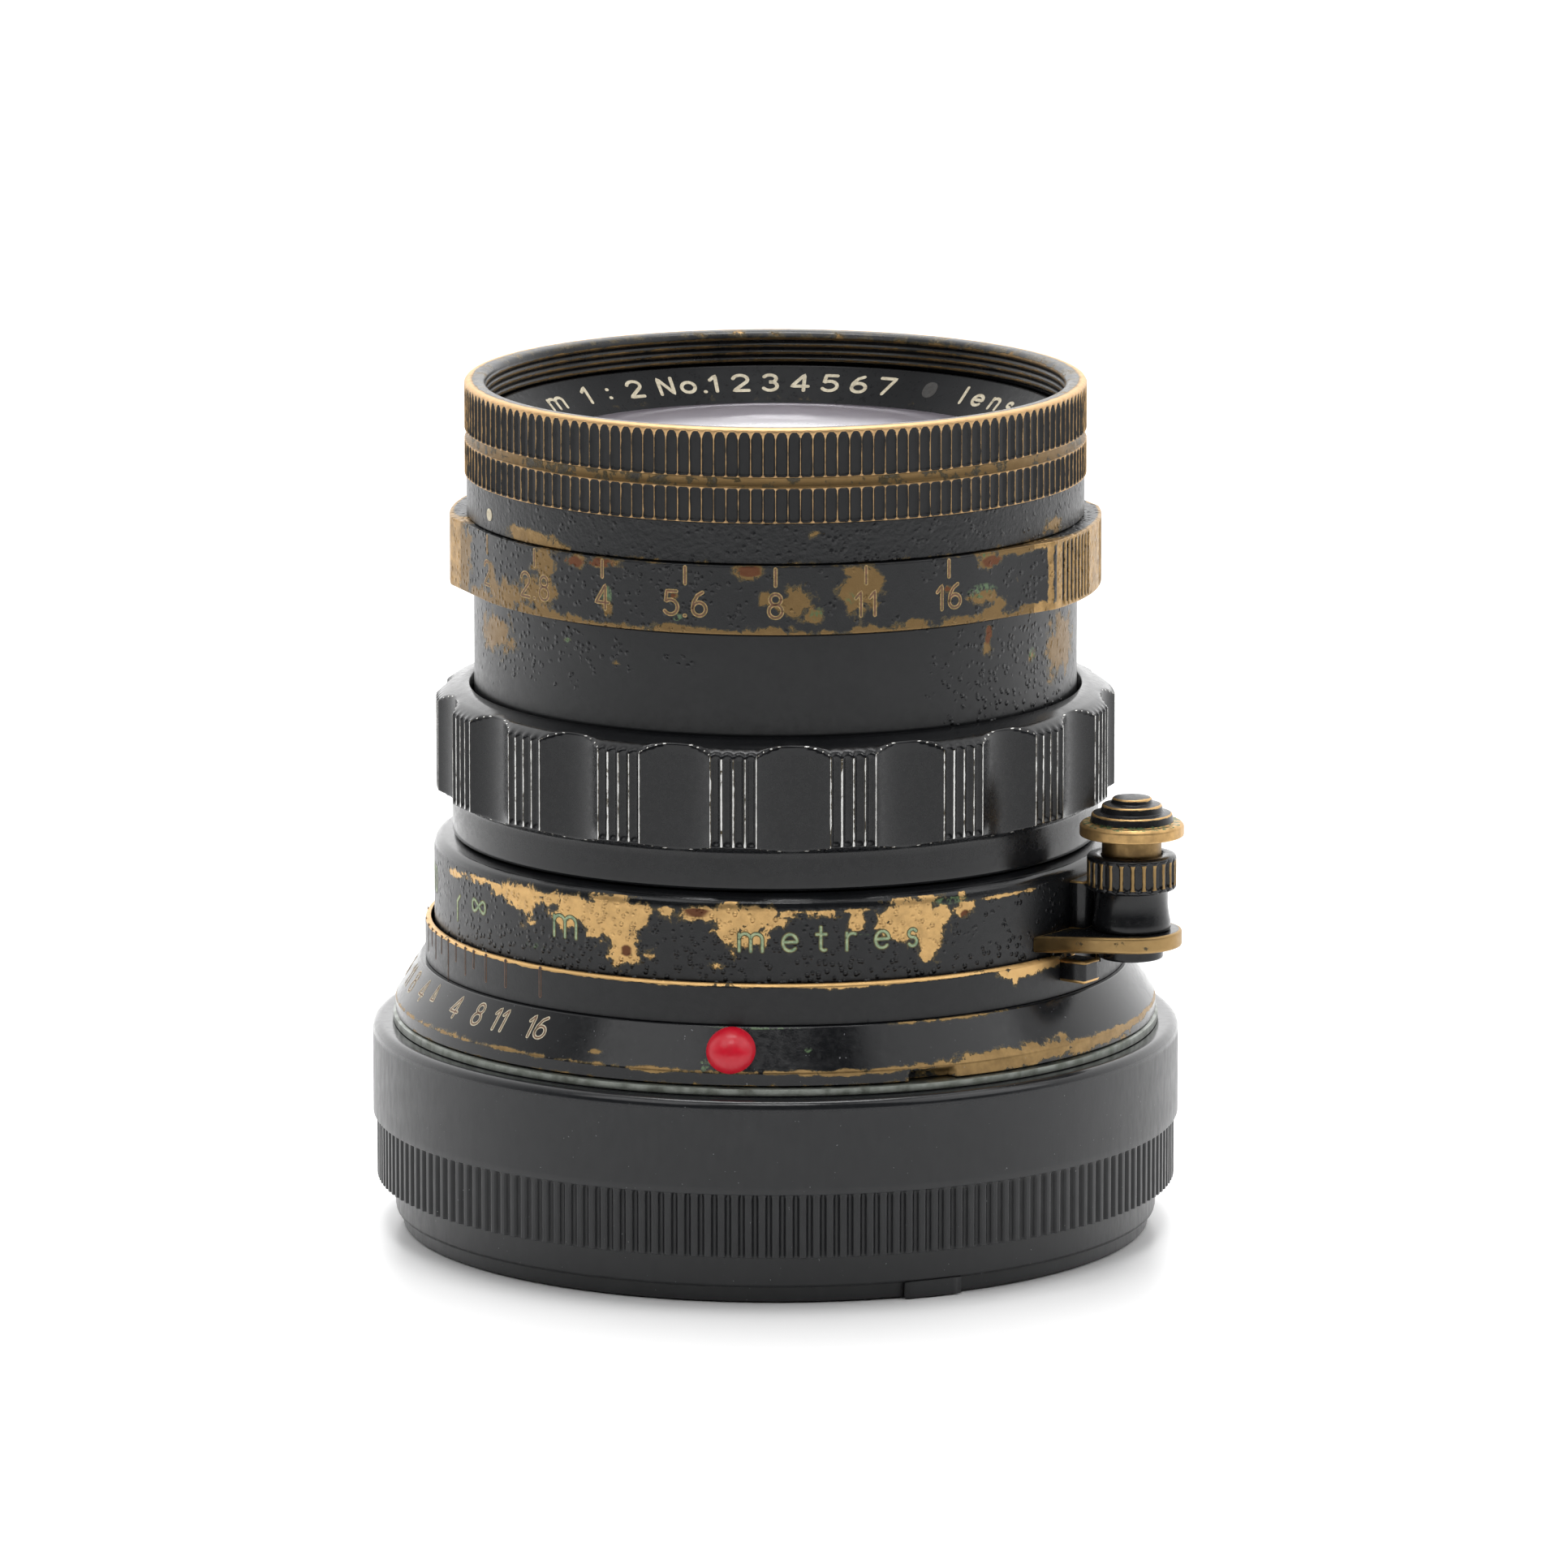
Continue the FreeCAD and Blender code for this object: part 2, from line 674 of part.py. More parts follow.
def make_iris_rotor():
    """The driving ring: a plate with curved slots, and a sleeve that reaches the screw."""
    bottom = blade_level(BLADE_COUNT) + 0.09
    outside = D.neck_bore - 0.08
    sleeve_bore = 18.0
    sleeve_top = 47.6
    blank = turned("iris_rotor_blank", [
        (D.iris_opening + 0.2, bottom),
        (outside, bottom),
        (outside, sleeve_top),
        (sleeve_bore, sleeve_top),
        (sleeve_bore, bottom + 0.6),
        (D.iris_opening + 0.2, bottom + 0.6),
    ])
    slots = around(drive_slot(plain(bottom) - 0.5), BLADE_COUNT, blade_start(0))
    slots.append(radial_rod(SCREW_SHANK + 0.1, APERTURE_SCREW_AZIMUTH, 17.5, 19.5, screw_height()))
    cutters = tool("iris_rotor_slots", Part.makeCompound(slots))
    keep(cut("iris_rotor", blank, cutters), "iris_rotor")
    retainer_bottom = sleeve_top + 0.2
    keep(ring("iris_retaining_ring", sleeve_bore - GAP, D.neck_bore - GAP,
              retainer_bottom, retainer_bottom + 0.8), "iris_retaining_ring")


def screw_height():
    """The height of the screw that joins the aperture ring and the iris rotor."""
    return (plain(D.aperture_ring_top) + plain(D.aperture_ring_bottom)) / 2


def ear_outline(radius, base):
    """One finger grip of the aperture ring, centred on azimuth 0."""
    left = polar(base, -EAR_HALF_ANGLE)
    right = polar(base, EAR_HALF_ANGLE)
    crest_left = polar(radius, -EAR_CREST_HALF_ANGLE)
    crest_right = polar(radius, EAR_CREST_HALF_ANGLE)
    edges = [
        Part.LineSegment(Vector(), left).toShape(),
        Part.LineSegment(left, crest_left).toShape(),
        Part.Arc(crest_left, polar(radius, 0), crest_right).toShape(),
        Part.LineSegment(crest_right, right).toShape(),
        Part.LineSegment(right, Vector()).toShape(),
    ]
    return Part.Face(Part.Wire(edges))


def make_aperture_ring():
    """The ring with the f-numbers, its two ribbed grips and its coupling screw."""
    bottom = plain(D.aperture_ring_bottom)
    top = plain(D.aperture_ring_top)
    blank = turned("aperture_ring_blank", [
        (D.aperture_ring_bore, D.aperture_ring_bottom),
        (D.aperture_ear_radius - 0.25, D.aperture_ring_bottom),
        (D.aperture_ear_radius, D.aperture_ring_bottom + 0.25),
        (D.aperture_ear_radius, D.aperture_ring_top - 0.25),
        (D.aperture_ear_radius - 0.25, D.aperture_ring_top),
        (D.aperture_ring_bore, D.aperture_ring_top),
    ])
    lift = UP * (top - bottom)
    base = plain(D.aperture_ring_radius)
    ear = ear_outline(plain(D.aperture_ear_radius), base - 0.02).extrude(lift)
    ear.translate(Vector(0, 0, bottom))
    ears = around(ear, 2, APERTURE_SCREW_AZIMUTH)
    disc = Part.makeCylinder(base, top - bottom, Vector(0, 0, bottom))
    outside = tool("aperture_ring_outside", disc.multiFuse(ears))
    shaped = common("aperture_ring_shaped", blank, outside)
    rib_count = int(2 * (EAR_CREST_HALF_ANGLE - 2) / EAR_RIB_PITCH)
    rib_floor = plain(D.aperture_ear_radius) - RIB_DEPTH
    beyond = plain(D.aperture_ear_radius) + 1
    grooves = []
    for side in (0, 180):
        for number in range(rib_count):
            offset = (number - (rib_count - 1) / 2) * EAR_RIB_PITCH
            if side == 180 or abs(offset) > 4.0:
                azimuth = APERTURE_SCREW_AZIMUTH + side + offset
                grooves.append(block(azimuth, rib_floor, beyond, 0.22, bottom + 0.5, top - 0.5))
    seat = base - 0.1
    grooves.append(radial_rod(SCREW_SHANK + 0.1, APERTURE_SCREW_AZIMUTH, 19.0, seat + 0.1, screw_height()))
    grooves.append(radial_rod(SCREW_HEAD + 0.1, APERTURE_SCREW_AZIMUTH, seat, beyond, screw_height()))
    cutters = tool("aperture_ring_grooves", Part.makeCompound(grooves))
    keep(cut("aperture_ring", shaped, cutters), "aperture_ring")
    make_aperture_screw(seat + GAP)


def make_aperture_screw(seat):
    """The slotted screw that joins the aperture ring and the iris rotor."""
    height = screw_height()
    head_top = seat + 0.7
    shank = radial_rod(SCREW_SHANK, APERTURE_SCREW_AZIMUTH, 18.05, seat + 0.15, height)
    head = radial_rod(SCREW_HEAD, APERTURE_SCREW_AZIMUTH, seat, head_top, height)
    slot = block(APERTURE_SCREW_AZIMUTH, head_top - 0.25, head_top + 1, 0.3, height - 2, height + 2)
    keep(tool("aperture_screw", shank.fuse(head).cut(slot)), "aperture_screw")


def spring(name, centre, radius, wire, bottom, top, turns):
    """A coil spring of round wire, with its ends inside the given heights."""
    low = bottom + wire
    height = top - bottom - 2 * wire
    helix = Part.makeHelix(height / turns, height, radius)
    start = Part.Wire(Part.Circle(Vector(radius, 0, 0), Vector(0, 1, 0), wire).toShape())
    coil = Part.Wire(helix.Edges).makePipeShell([start], True, True)
    coil.translate(Vector(centre.x, centre.y, low))
    return keep(tool(name, coil), name)


def click_place(height):
    """A point on the axis of the click ball's pocket."""
    middle = (plain(D.neck_radius) + plain(D.index_barrel_radius)) / 2
    return polar(middle, CLICK_AZIMUTH, height)


def make_click():
    """The sprung ball that gives the aperture ring its clicks."""
    radius = 0.38
    centre = click_place(D.index_barrel_bottom + radius + 0.02)
    keep(tool("click_ball", Part.makeSphere(radius, centre)), "click_ball")
    spring("click_spring", centre, 0.25, 0.06, centre.z + radius + 0.02, centre.z + 1.95, 6)


# ---- focus group ----

def make_focus_ring():
    """The scalloped ring that the hand turns, with its plain skirt."""
    blank = turned("focus_ring_blank", [
        (D.focus_ring_bore, D.focus_rib_bottom),
        (D.focus_ring_bore + 0.2, D.focus_rib_bottom - 0.5),
        (D.focus_ring_bore + 0.2, D.skirt_bottom),
        (D.skirt_radius - 0.2, D.skirt_bottom),
        (D.skirt_radius, D.skirt_bottom + 0.2),
        (D.skirt_radius, D.focus_rib_bottom - 0.5),
        (D.focus_ring_radius, D.focus_rib_bottom),
        (D.focus_ring_radius, D.focus_ring_top - 1.0),
        (D.focus_ring_radius - 0.8, D.focus_ring_top - 0.4),
        (D.focus_ring_bore, D.focus_ring_top),
    ])
    height = plain(D.focus_ring_top) - plain(D.focus_rib_bottom) + 2
    low = plain(D.focus_rib_bottom) - 1
    axis = D.focus_ring_radius - D.scallop_depth + D.scallop_radius
    scallop = Part.makeCylinder(plain(D.scallop_radius), height, polar(axis, 0, low))
    cutters = around(scallop, SCALLOP_COUNT, SCALLOP_AZIMUTH)
    beyond = D.focus_ring_radius + 1
    groove = block(0, D.focus_ring_radius - RIB_DEPTH, beyond, 0.3, low, low + height)
    for number in range(SCALLOP_CREST_GROOVES):
        step = number - (SCALLOP_CREST_GROOVES - 1) / 2
        offset = 180 / SCALLOP_COUNT + step * SCALLOP_CREST_PITCH
        cutters += around(groove, SCALLOP_COUNT, SCALLOP_AZIMUTH + offset)
    grooves = tool("focus_ring_scallops", Part.makeCompound(cutters))
    keep(cut("focus_ring", blank, grooves), "focus_ring")


def make_distance_ring():
    """The ring with the distance scale; its lower edge hides inside the base."""
    wall = D.distance_ring_radius - D.distance_ring_wall
    blank = turned("distance_ring_blank", [
        (D.helicoid_radius + GAP, D.distance_plate),
        (wall, D.distance_plate),
        (wall, D.distance_ring_bottom),
        (D.distance_ring_radius, D.distance_ring_bottom),
        (D.distance_ring_radius, D.skirt_bottom - 0.85),
        (D.distance_ring_radius - 0.4, D.skirt_bottom - 0.3, 0.7),
        (D.skirt_radius - 0.4, D.skirt_bottom - GAP),
        (D.helicoid_radius + GAP, D.skirt_bottom - GAP),
    ])
    hole = Part.makeCylinder(0.45, 3.0, polar(HELICOID_SCREW_CIRCLE, 0, D.distance_plate - 0.5))
    holes = Part.makeCompound(around(hole, HELICOID_SCREW_COUNT, HELICOID_SCREW_AZIMUTH))
    keep(cut("distance_ring", blank, tool("distance_ring_holes", holes)), "distance_ring")


def make_helicoid():
    """The turning tube that screws in the base and carries the head forward."""
    flange_bottom = D.skirt_bottom
    flange_top = D.skirt_bottom + 1.35
    blank = turned("helicoid_blank", [
        (D.helicoid_bore, D.helicoid_bottom),
        (D.helicoid_radius, D.helicoid_bottom),
        (D.helicoid_radius, flange_bottom),
        (D.focus_ring_bore + 0.1, flange_bottom),
        (D.focus_ring_bore + 0.1, flange_top),
        (D.helicoid_bore, flange_top),
    ])
    low = plain(flange_bottom)
    top = plain(flange_top)
    circle = HELICOID_SCREW_CIRCLE
    hole = Part.makeCylinder(0.45, 3.0, polar(circle, 0, low - 0.5))
    seat = Part.makeCylinder(0.62, 2.0, polar(circle, 0, top - 0.6))
    holes = Part.makeCompound(around(hole.fuse(seat), HELICOID_SCREW_COUNT, HELICOID_SCREW_AZIMUTH))
    keep(cut("helicoid", blank, tool("helicoid_holes", holes)), "helicoid")
    foot = plain(D.distance_plate) + 0.1
    shank = Part.makeCylinder(0.4, top - foot - 0.3, polar(circle, 0, foot))
    head = Part.makeCylinder(0.58, 0.5, polar(circle, 0, top - 0.58))
    slot = Part.makeBox(2, 0.2, 0.4, polar(circle, 0, top - 0.3) - Vector(1, 0.1, 0))
    screws = around(shank.fuse(head).cut(slot), HELICOID_SCREW_COUNT, HELICOID_SCREW_AZIMUTH)
    keep(tool("helicoid_screws", Part.makeCompound(screws)), "helicoid_screws")


def make_guide_tube():
    """The tube that moves the head straight, with its slot for the key and its thrust ring."""
    flange_top = D.head_bottom - GAP
    flange_bottom = D.head_bottom - 2.8
    top = D.head_bottom + 1.45
    blank = turned("guide_tube_blank", [
        (D.guide_tube_bore, D.guide_tube_bottom),
        (D.guide_tube_radius, D.guide_tube_bottom),
        (D.guide_tube_radius, flange_bottom),
        (D.head_radius, flange_bottom),
        (D.head_radius, flange_top),
        (D.guide_tube_radius + 0.1, flange_top),
        (D.guide_tube_radius + 0.1, top),
        (D.guide_tube_bore, top),
    ])
    inner = D.guide_tube_bore - 1
    outer = D.guide_tube_radius + 1
    slot = block(KEY_AZIMUTH, inner, outer, plain(D.key_width) + 0.16, D.guide_tube_bottom - 1, 26.0)
    keep(cut("guide_tube", blank, tool("guide_slot", slot)), "guide_tube")
    thrust_top = D.helicoid_bottom - 0.3
    thrust = ring("thrust_ring", D.guide_tube_radius + 0.03, 19.2, thrust_top - 1.2, thrust_top)
    keep(thrust, "thrust_ring")


# ---- fixed mount ----

def make_mount_base():
    """The cone and the inner tube that the helicoid turns in."""
    blank = turned("mount_base_blank", [
        (D.base_bore, D.base_tail),
        (D.bayonet_bore - GAP, D.base_tail),
        (D.bayonet_bore - GAP, D.base_bottom),
        (D.base_radius, D.base_bottom),
        (D.base_radius, D.base_bend),
        (D.base_top_radius, D.base_top),
        (D.depth_ring_bore + GAP, D.base_top),
        (D.depth_ring_bore + GAP, D.distance_ring_bottom - 0.5),
        (D.base_cavity, D.distance_ring_bottom - 0.5),
        (D.base_cavity, D.distance_plate - 0.5),
        (D.base_bore, D.distance_plate - 0.5),
    ])
    low = plain(D.base_bottom)
    notch_width = 3.2
    cutters = [
        block(NOTCH_AZIMUTH, 25.0, 26.5, notch_width, low - 0.5, low + 0.7),
        radial_rod(plain(D.bead_radius) + 0.02, BEAD_AZIMUTH, BEAD_SEAT - GAP, 27.0, bead_height()),
    ]
    screw_hole = Part.makeCylinder(0.65, 1.6, polar(BAYONET_SCREW_CIRCLE, 0, low - 0.3))
    cutters += around(screw_hole, BAYONET_SCREW_COUNT, BAYONET_SCREW_AZIMUTH)
    for offset in KEY_SCREW_OFFSETS:
        place = polar(KEY_SCREW_CIRCLE, KEY_AZIMUTH + offset, D.base_tail - 0.2)
        cutters.append(Part.makeCylinder(0.38, 2.2, place))
    keep(cut("mount_base", blank, tool("mount_base_holes", Part.makeCompound(cutters))), "mount_base")


def bead_height():
    """The height of the alignment bead's centre on the cone."""
    return plain(D.base_top) - plain(D.bead_radius)


def make_bead():
    """A glass bead with a short shank, let into the cone."""
    radius = plain(D.bead_radius)
    shank_end = 24.5
    shank = radial_rod(radius, BEAD_AZIMUTH, BEAD_SEAT, shank_end, bead_height())
    centre = polar(shank_end, BEAD_AZIMUTH, bead_height())
    dome = Part.makeSphere(radius, centre, polar(1, BEAD_AZIMUTH), 0, 90, 360)
    keep(tool("alignment_bead", shank.fuse(dome)), "alignment_bead")


def make_depth_ring():
    """The ring with the depth scale, cut away under the infinity lock's foot."""
    blank = turned("depth_scale_ring_blank", [
        (D.depth_ring_bore, D.base_top + 0.02),
        (D.depth_ring_radius, D.base_top + 0.02),
        (D.depth_ring_radius, D.depth_ring_top - 0.2),
        (D.depth_ring_radius - 0.18, D.depth_ring_top),
        (D.depth_ring_bore, D.depth_ring_top),
    ])
    first, last = LOCK_NOTCH
    inner = D.depth_ring_bore - 1
    outer = D.depth_ring_radius + 1
    notch = sector(first, last, inner, outer, D.base_top + 1.3, D.depth_ring_top + 1)
    keep(cut("depth_scale_ring", blank, tool("lock_notch", notch)), "depth_scale_ring")


def make_bayonet():
    """The chrome bayonet with its lugs and screws."""
    neck = turned("bayonet_neck", [
        (D.bayonet_bore, D.bayonet_bottom),
        (D.bayonet_radius, D.bayonet_bottom),
        (D.bayonet_radius, D.flange_height),
        (D.flange_radius, D.flange_height),
        (D.flange_radius, D.base_bottom - 0.2),
        (D.flange_radius - 0.3, D.base_bottom - GAP),
        (D.bayonet_bore, D.base_bottom - GAP),
    ])
    half = 20
    lug = sector(-half, half, D.bayonet_radius - 0.3, D.lug_radius, D.bayonet_bottom, D.lug_top)
    lugs = tool("bayonet_lugs", Part.makeCompound(around(lug, LUG_COUNT, 180 / LUG_COUNT)))
    whole = fuse("bayonet_with_lugs", [neck, lugs])
    flange = plain(D.flange_height)
    circle = BAYONET_SCREW_CIRCLE
    shank_hole = Part.makeCylinder(0.65, 2.0, polar(circle, 0, flange - 0.5))
    sink = Part.makeCylinder(1.05, 0.75, polar(circle, 0, flange - 0.4))
    cutters = around(shank_hole.fuse(sink), BAYONET_SCREW_COUNT, BAYONET_SCREW_AZIMUTH)
    holes = tool("bayonet_holes", Part.makeCompound(cutters))
    keep(cut("bayonet_ring", whole, holes), "bayonet_ring")
    shank = Part.makeCylinder(0.6, 1.6, polar(circle, 0, flange + 0.2))
    head = Part.makeCylinder(1.0, 0.3, polar(circle, 0, flange + 0.03))
    slot = Part.makeBox(3, 0.25, 0.2, polar(circle, 0, flange) - Vector(1.5, 0.125, 0))
    screws = around(shank.fuse(head).cut(slot), BAYONET_SCREW_COUNT, BAYONET_SCREW_AZIMUTH)
    keep(tool("bayonet_screws", Part.makeCompound(screws)), "bayonet_screws")


def make_guide_key():
    """The key that stands in the guide tube's slot, and its two screws."""
    bottom = D.base_tail - 1.0
    top = D.base_tail - GAP
    width = plain(D.key_width)
    finger = block(KEY_AZIMUTH, D.guide_tube_bore + GAP, D.guide_tube_radius - GAP, width, bottom, 22.0)
    neck = block(KEY_AZIMUTH, 17.0, 19.0, width, bottom, top)
    foot_half = 9
    foot = sector(KEY_AZIMUTH - foot_half, KEY_AZIMUTH + foot_half, 18.4, 20.5, bottom, top)
    holes = []
    screws = []
    for offset in KEY_SCREW_OFFSETS:
        place = polar(KEY_SCREW_CIRCLE, KEY_AZIMUTH + offset, bottom - 0.2)
        holes.append(Part.makeCylinder(0.38, 2.0, place))
        shank = Part.makeCylinder(0.35, 2.6, place)
        head = Part.makeCylinder(0.5, 0.4, place - UP * 0.2)
        screws.append(shank.fuse(head))
    key = finger.multiFuse([neck, foot]).cut(Part.makeCompound(holes))
    keep(tool("guide_key", key.removeSplitter()), "guide_key")
    keep(tool("guide_key_screws", Part.makeCompound(screws)), "guide_key_screws")


# ---- infinity lock ----

def lock_centre(height=0.0):
    return polar(D.lock_offset, plain(D.lock_azimuth), height)


def make_lock_arm():
    """The arm that carries the lock, with the web that stiffens it."""
    centre = lock_centre(D.arm_bottom)
    inside = plain(D.distance_ring_radius) + 0.02
    azimuth = plain(D.lock_azimuth)
    radius = plain(D.arm_radius)
    height = plain(D.arm_top) - plain(D.arm_bottom)
    root_half = 14.0
    outward = polar(1, azimuth)
    sideways = UP.cross(outward)
    root_left = polar(inside, azimuth - root_half, D.arm_bottom)
    root_right = polar(inside, azimuth + root_half, D.arm_bottom)
    lean = outward * (radius * 0.45)
    side = sideways * (radius * 0.89)
    back = polar(inside - 2.5, azimuth, D.arm_bottom)
    plate = Part.Face(Part.makePolygon([
        back, root_left, centre + lean - side, centre + lean + side, root_right, back,
    ])).extrude(UP * height)
    end = Part.makeCylinder(radius, height, centre)
    web = block(azimuth, inside - 1, plain(D.lock_offset), 3.4, D.arm_top - 0.1, 25.9)
    ring_space = Part.makeCylinder(inside, 20, Vector(0, 0, 15))
    post_space = Part.makeCylinder(POST_RADIUS + 0.02, 10, lock_centre(D.arm_top))
    collar_radius = plain(D.collar_radius) + 0.03
    collar_space = Part.makeCylinder(collar_radius, 5, lock_centre(D.collar_bottom - 0.02))
    rod_hole = Part.makeCylinder(ROD_RADIUS + 0.1, 5, lock_centre(D.arm_bottom - 1))
    arm = plate.multiFuse([end, web])
    arm = arm.cut(ring_space)
    arm = arm.cut(post_space.multiFuse([collar_space, rod_hole]))
    keep(tool("lock_arm", arm.removeSplitter()), "lock_arm")


def make_lock_post():
    """The post that guides the button, with its knurled collar."""
    top = D.collar_top
    blank = turned("lock_post_blank", [
        (ROD_RADIUS + 0.1, D.arm_top + 0.02),
        (POST_RADIUS, D.arm_top + 0.02),
        (POST_RADIUS, D.collar_bottom),
        (D.collar_radius, D.collar_bottom + 0.2),
        (D.collar_radius, top - 0.2),
        (D.collar_radius - 0.3, top),
        (D.stem_radius + 0.06, top),
        (D.stem_radius + 0.06, D.arm_top + 0.4),
        (ROD_RADIUS + 0.1, D.arm_top + 0.4),
    ])
    blank.Placement.Base = lock_centre()
    low = plain(D.arm_top) - 1
    high = plain(top) + 1
    knurl = grooved_disc(plain(D.collar_radius) + 0.001, RIB_DEPTH, COLLAR_RIDGE_COUNT, 0.35, low, high)
    knurl.translate(lock_centre())
    keep(common("lock_post", blank, tool("lock_post_knurl", knurl)), "lock_post")


def make_lock_button():
    """The button with its stepped crown, and the stem with its foot."""
    bottom = D.button_bottom
    radius = D.button_radius
    pin = 1.0
    pin_bottom = bottom - 1.2
    crown = turned("lock_button", [
        (0, pin_bottom),
        (pin, pin_bottom),
        (pin, bottom),
        (radius, bottom),
        (radius, bottom + 0.7),
        (radius - 0.2, bottom + 0.9),
        (radius - 0.7, bottom + 0.9),
        (radius - 0.8, bottom + 1.5),
        (radius - 1.4, bottom + 1.6),
        (radius - 1.5, bottom + 2.1),
        (radius - 2.1, bottom + 2.2),
        (radius - 2.2, bottom + 2.55),
        (0, D.button_top),
    ])
    crown.Placement.Base = lock_centre()
    keep(crown, "lock_button")
    shoulder = 26.0
    foot_bottom = D.arm_bottom - 0.85
    stem = turned("lock_stem", [
        (0, foot_bottom),
        (D.foot_radius, foot_bottom),
        (D.foot_radius, D.arm_bottom - GAP),
        (ROD_RADIUS, D.arm_bottom - GAP),
        (ROD_RADIUS, shoulder),
        (D.stem_radius, shoulder),
        (D.stem_radius, bottom - 0.02),
        (pin + 0.03, bottom - 0.02),
        (pin + 0.03, pin_bottom - 0.02),
        (0, pin_bottom - 0.02),
    ])
    stem.Placement.Base = lock_centre()
    keep(stem, "lock_stem")
    spring("lock_spring", lock_centre(), 1.4, 0.16, plain(D.arm_top) + 0.42, shoulder - 0.02, 4)


def make_infinity_catch():
    """The stop on the base that the lock's foot rests against at infinity."""
    foot_half = math.degrees(math.asin(plain(D.foot_radius) / plain(D.lock_offset)))
    face = plain(D.lock_azimuth) - foot_half - 0.3
    inner = D.depth_ring_radius + 0.01
    outer = D.base_radius - GAP
    top = D.depth_ring_top - 0.2
    keep(tool("infinity_catch", sector(face - 4.0, face, inner, outer, top - 1.58, top)), "infinity_catch")


# ---- rear cap ----

def make_rear_cap():
    """The moulded cap, turned to the place where its bayonet lets go."""
    ridge = D.cap_ridge_radius
    outer_bore = 25.6
    collar_outside = 23.6
    collar_bore = 22.4
    foot_height = 1.08
    wall = turned("rear_cap_wall", [
        (0, 0),
        (D.cap_foot_radius, 0),
        (D.cap_foot_radius, foot_height),
        (D.cap_step_radius, foot_height),
        (D.cap_step_radius, D.cap_ridge_bottom - 0.3),
        (ridge - 0.3, D.cap_ridge_bottom - 0.3),
        (ridge, D.cap_ridge_bottom),
        (ridge, D.cap_ridge_top),
        (D.cap_radius, D.cap_ridge_top),
        (D.cap_radius, D.cap_top - 0.6),
        (D.cap_radius - 0.6, D.cap_top, 0.6),
        (outer_bore, D.cap_top),
        (outer_bore, D.cap_floor + 1.0),
        (collar_outside, D.cap_floor + 1.0),
        (collar_outside, D.cap_top),
        (collar_bore, D.cap_top),
        (collar_bore, D.cap_floor),
        (0, D.cap_floor),
    ])
    low = plain(D.cap_ridge_bottom) - 0.3
    top = plain(D.cap_ridge_top)
    depth = plain(D.knurl_depth)
    grooves = grooved_disc(plain(ridge) + 0.001, depth, CAP_RIDGE_COUNT, KNURL_CREST, low, top)
    band = Part.makeCylinder(28, top - low, Vector(0, 0, low)).cut(grooves)
    ridged = cut("rear_cap_ridged", wall, tool("rear_cap_grooves", band))
    lug_half = 14
    lug_inner = D.bayonet_radius + 0.2
    lug = sector(-lug_half, lug_half, lug_inner, collar_bore + 0.3, D.lug_top + 0.15, D.cap_top - 0.15)
    lugs = around(lug, LUG_COUNT)
    tab_half = math.degrees(2.05 / plain(D.cap_step_radius))
    tab_first = NOTCH_AZIMUTH - tab_half
    tab = sector(tab_first, tab_first + 2 * tab_half, 25.0, D.cap_step_radius, 0, foot_height)
    extras = tool("rear_cap_lugs", Part.makeCompound(lugs + [tab]))
    keep(fuse("rear_cap", [ridged, extras]), "rear_cap")


# ---- the whole lens ----

def build():
    make_front_optics()
    make_rear_optics()
    make_front_rim()
    make_front_barrel()
    make_name_ring()
    make_head_barrel()
    make_iris_base()
    for number in range(BLADE_COUNT):
        make_iris_blade(number)
    make_iris_rotor()
    make_aperture_ring()
    make_click()
    make_focus_ring()
    make_distance_ring()
    make_helicoid()
    make_guide_tube()
    make_mount_base()
    make_bead()
    make_depth_ring()
    make_bayonet()
    make_guide_key()
    make_lock_arm()
    make_lock_post()
    make_lock_button()
    make_infinity_catch()
    make_rear_cap()
    DOC.recompute()


def check():
    """Stop if any object failed or any piece isn't a sound solid."""
    for item in DOC.Objects:
        if "Invalid" in item.State or "Error" in item.State:
            raise RuntimeError(f"{item.Label} failed: {item.State}")
    for piece in PARTS:
        shape = piece.Shape
        if shape.isNull() or not shape.isValid() or not shape.Solids:
            raise RuntimeError(f"{piece.Label} is not a sound solid")
        print(f"{piece.Label:24s} {len(shape.Solids):3d} solids {shape.Volume:10.2f} mm3")


def write():
    os.makedirs("parts", exist_ok=True)
    for piece in PARTS:
        piece.Shape.exportStep(f"parts/{piece.Label}.step")


build()
check()
write()
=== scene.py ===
import math

import bmesh
import bpy
import numpy as np
from mathutils import Matrix, Vector


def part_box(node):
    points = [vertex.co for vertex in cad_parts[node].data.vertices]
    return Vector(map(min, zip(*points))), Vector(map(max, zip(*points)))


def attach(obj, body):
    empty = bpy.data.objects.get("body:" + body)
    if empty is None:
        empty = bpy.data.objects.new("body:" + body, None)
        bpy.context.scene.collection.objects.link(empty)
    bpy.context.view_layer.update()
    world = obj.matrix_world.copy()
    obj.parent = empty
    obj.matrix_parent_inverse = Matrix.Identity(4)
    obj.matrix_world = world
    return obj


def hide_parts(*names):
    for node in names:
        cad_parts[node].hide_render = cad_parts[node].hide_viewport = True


# A worn 50 mm rangefinder lens, black paint over brass, standing on its rear cap.
# Shapes are worked out in millimetres and turned into metres as the meshes are made.
# Azimuths are in degrees from -Y towards +X, so azimuth 0 is the side that faces the camera.

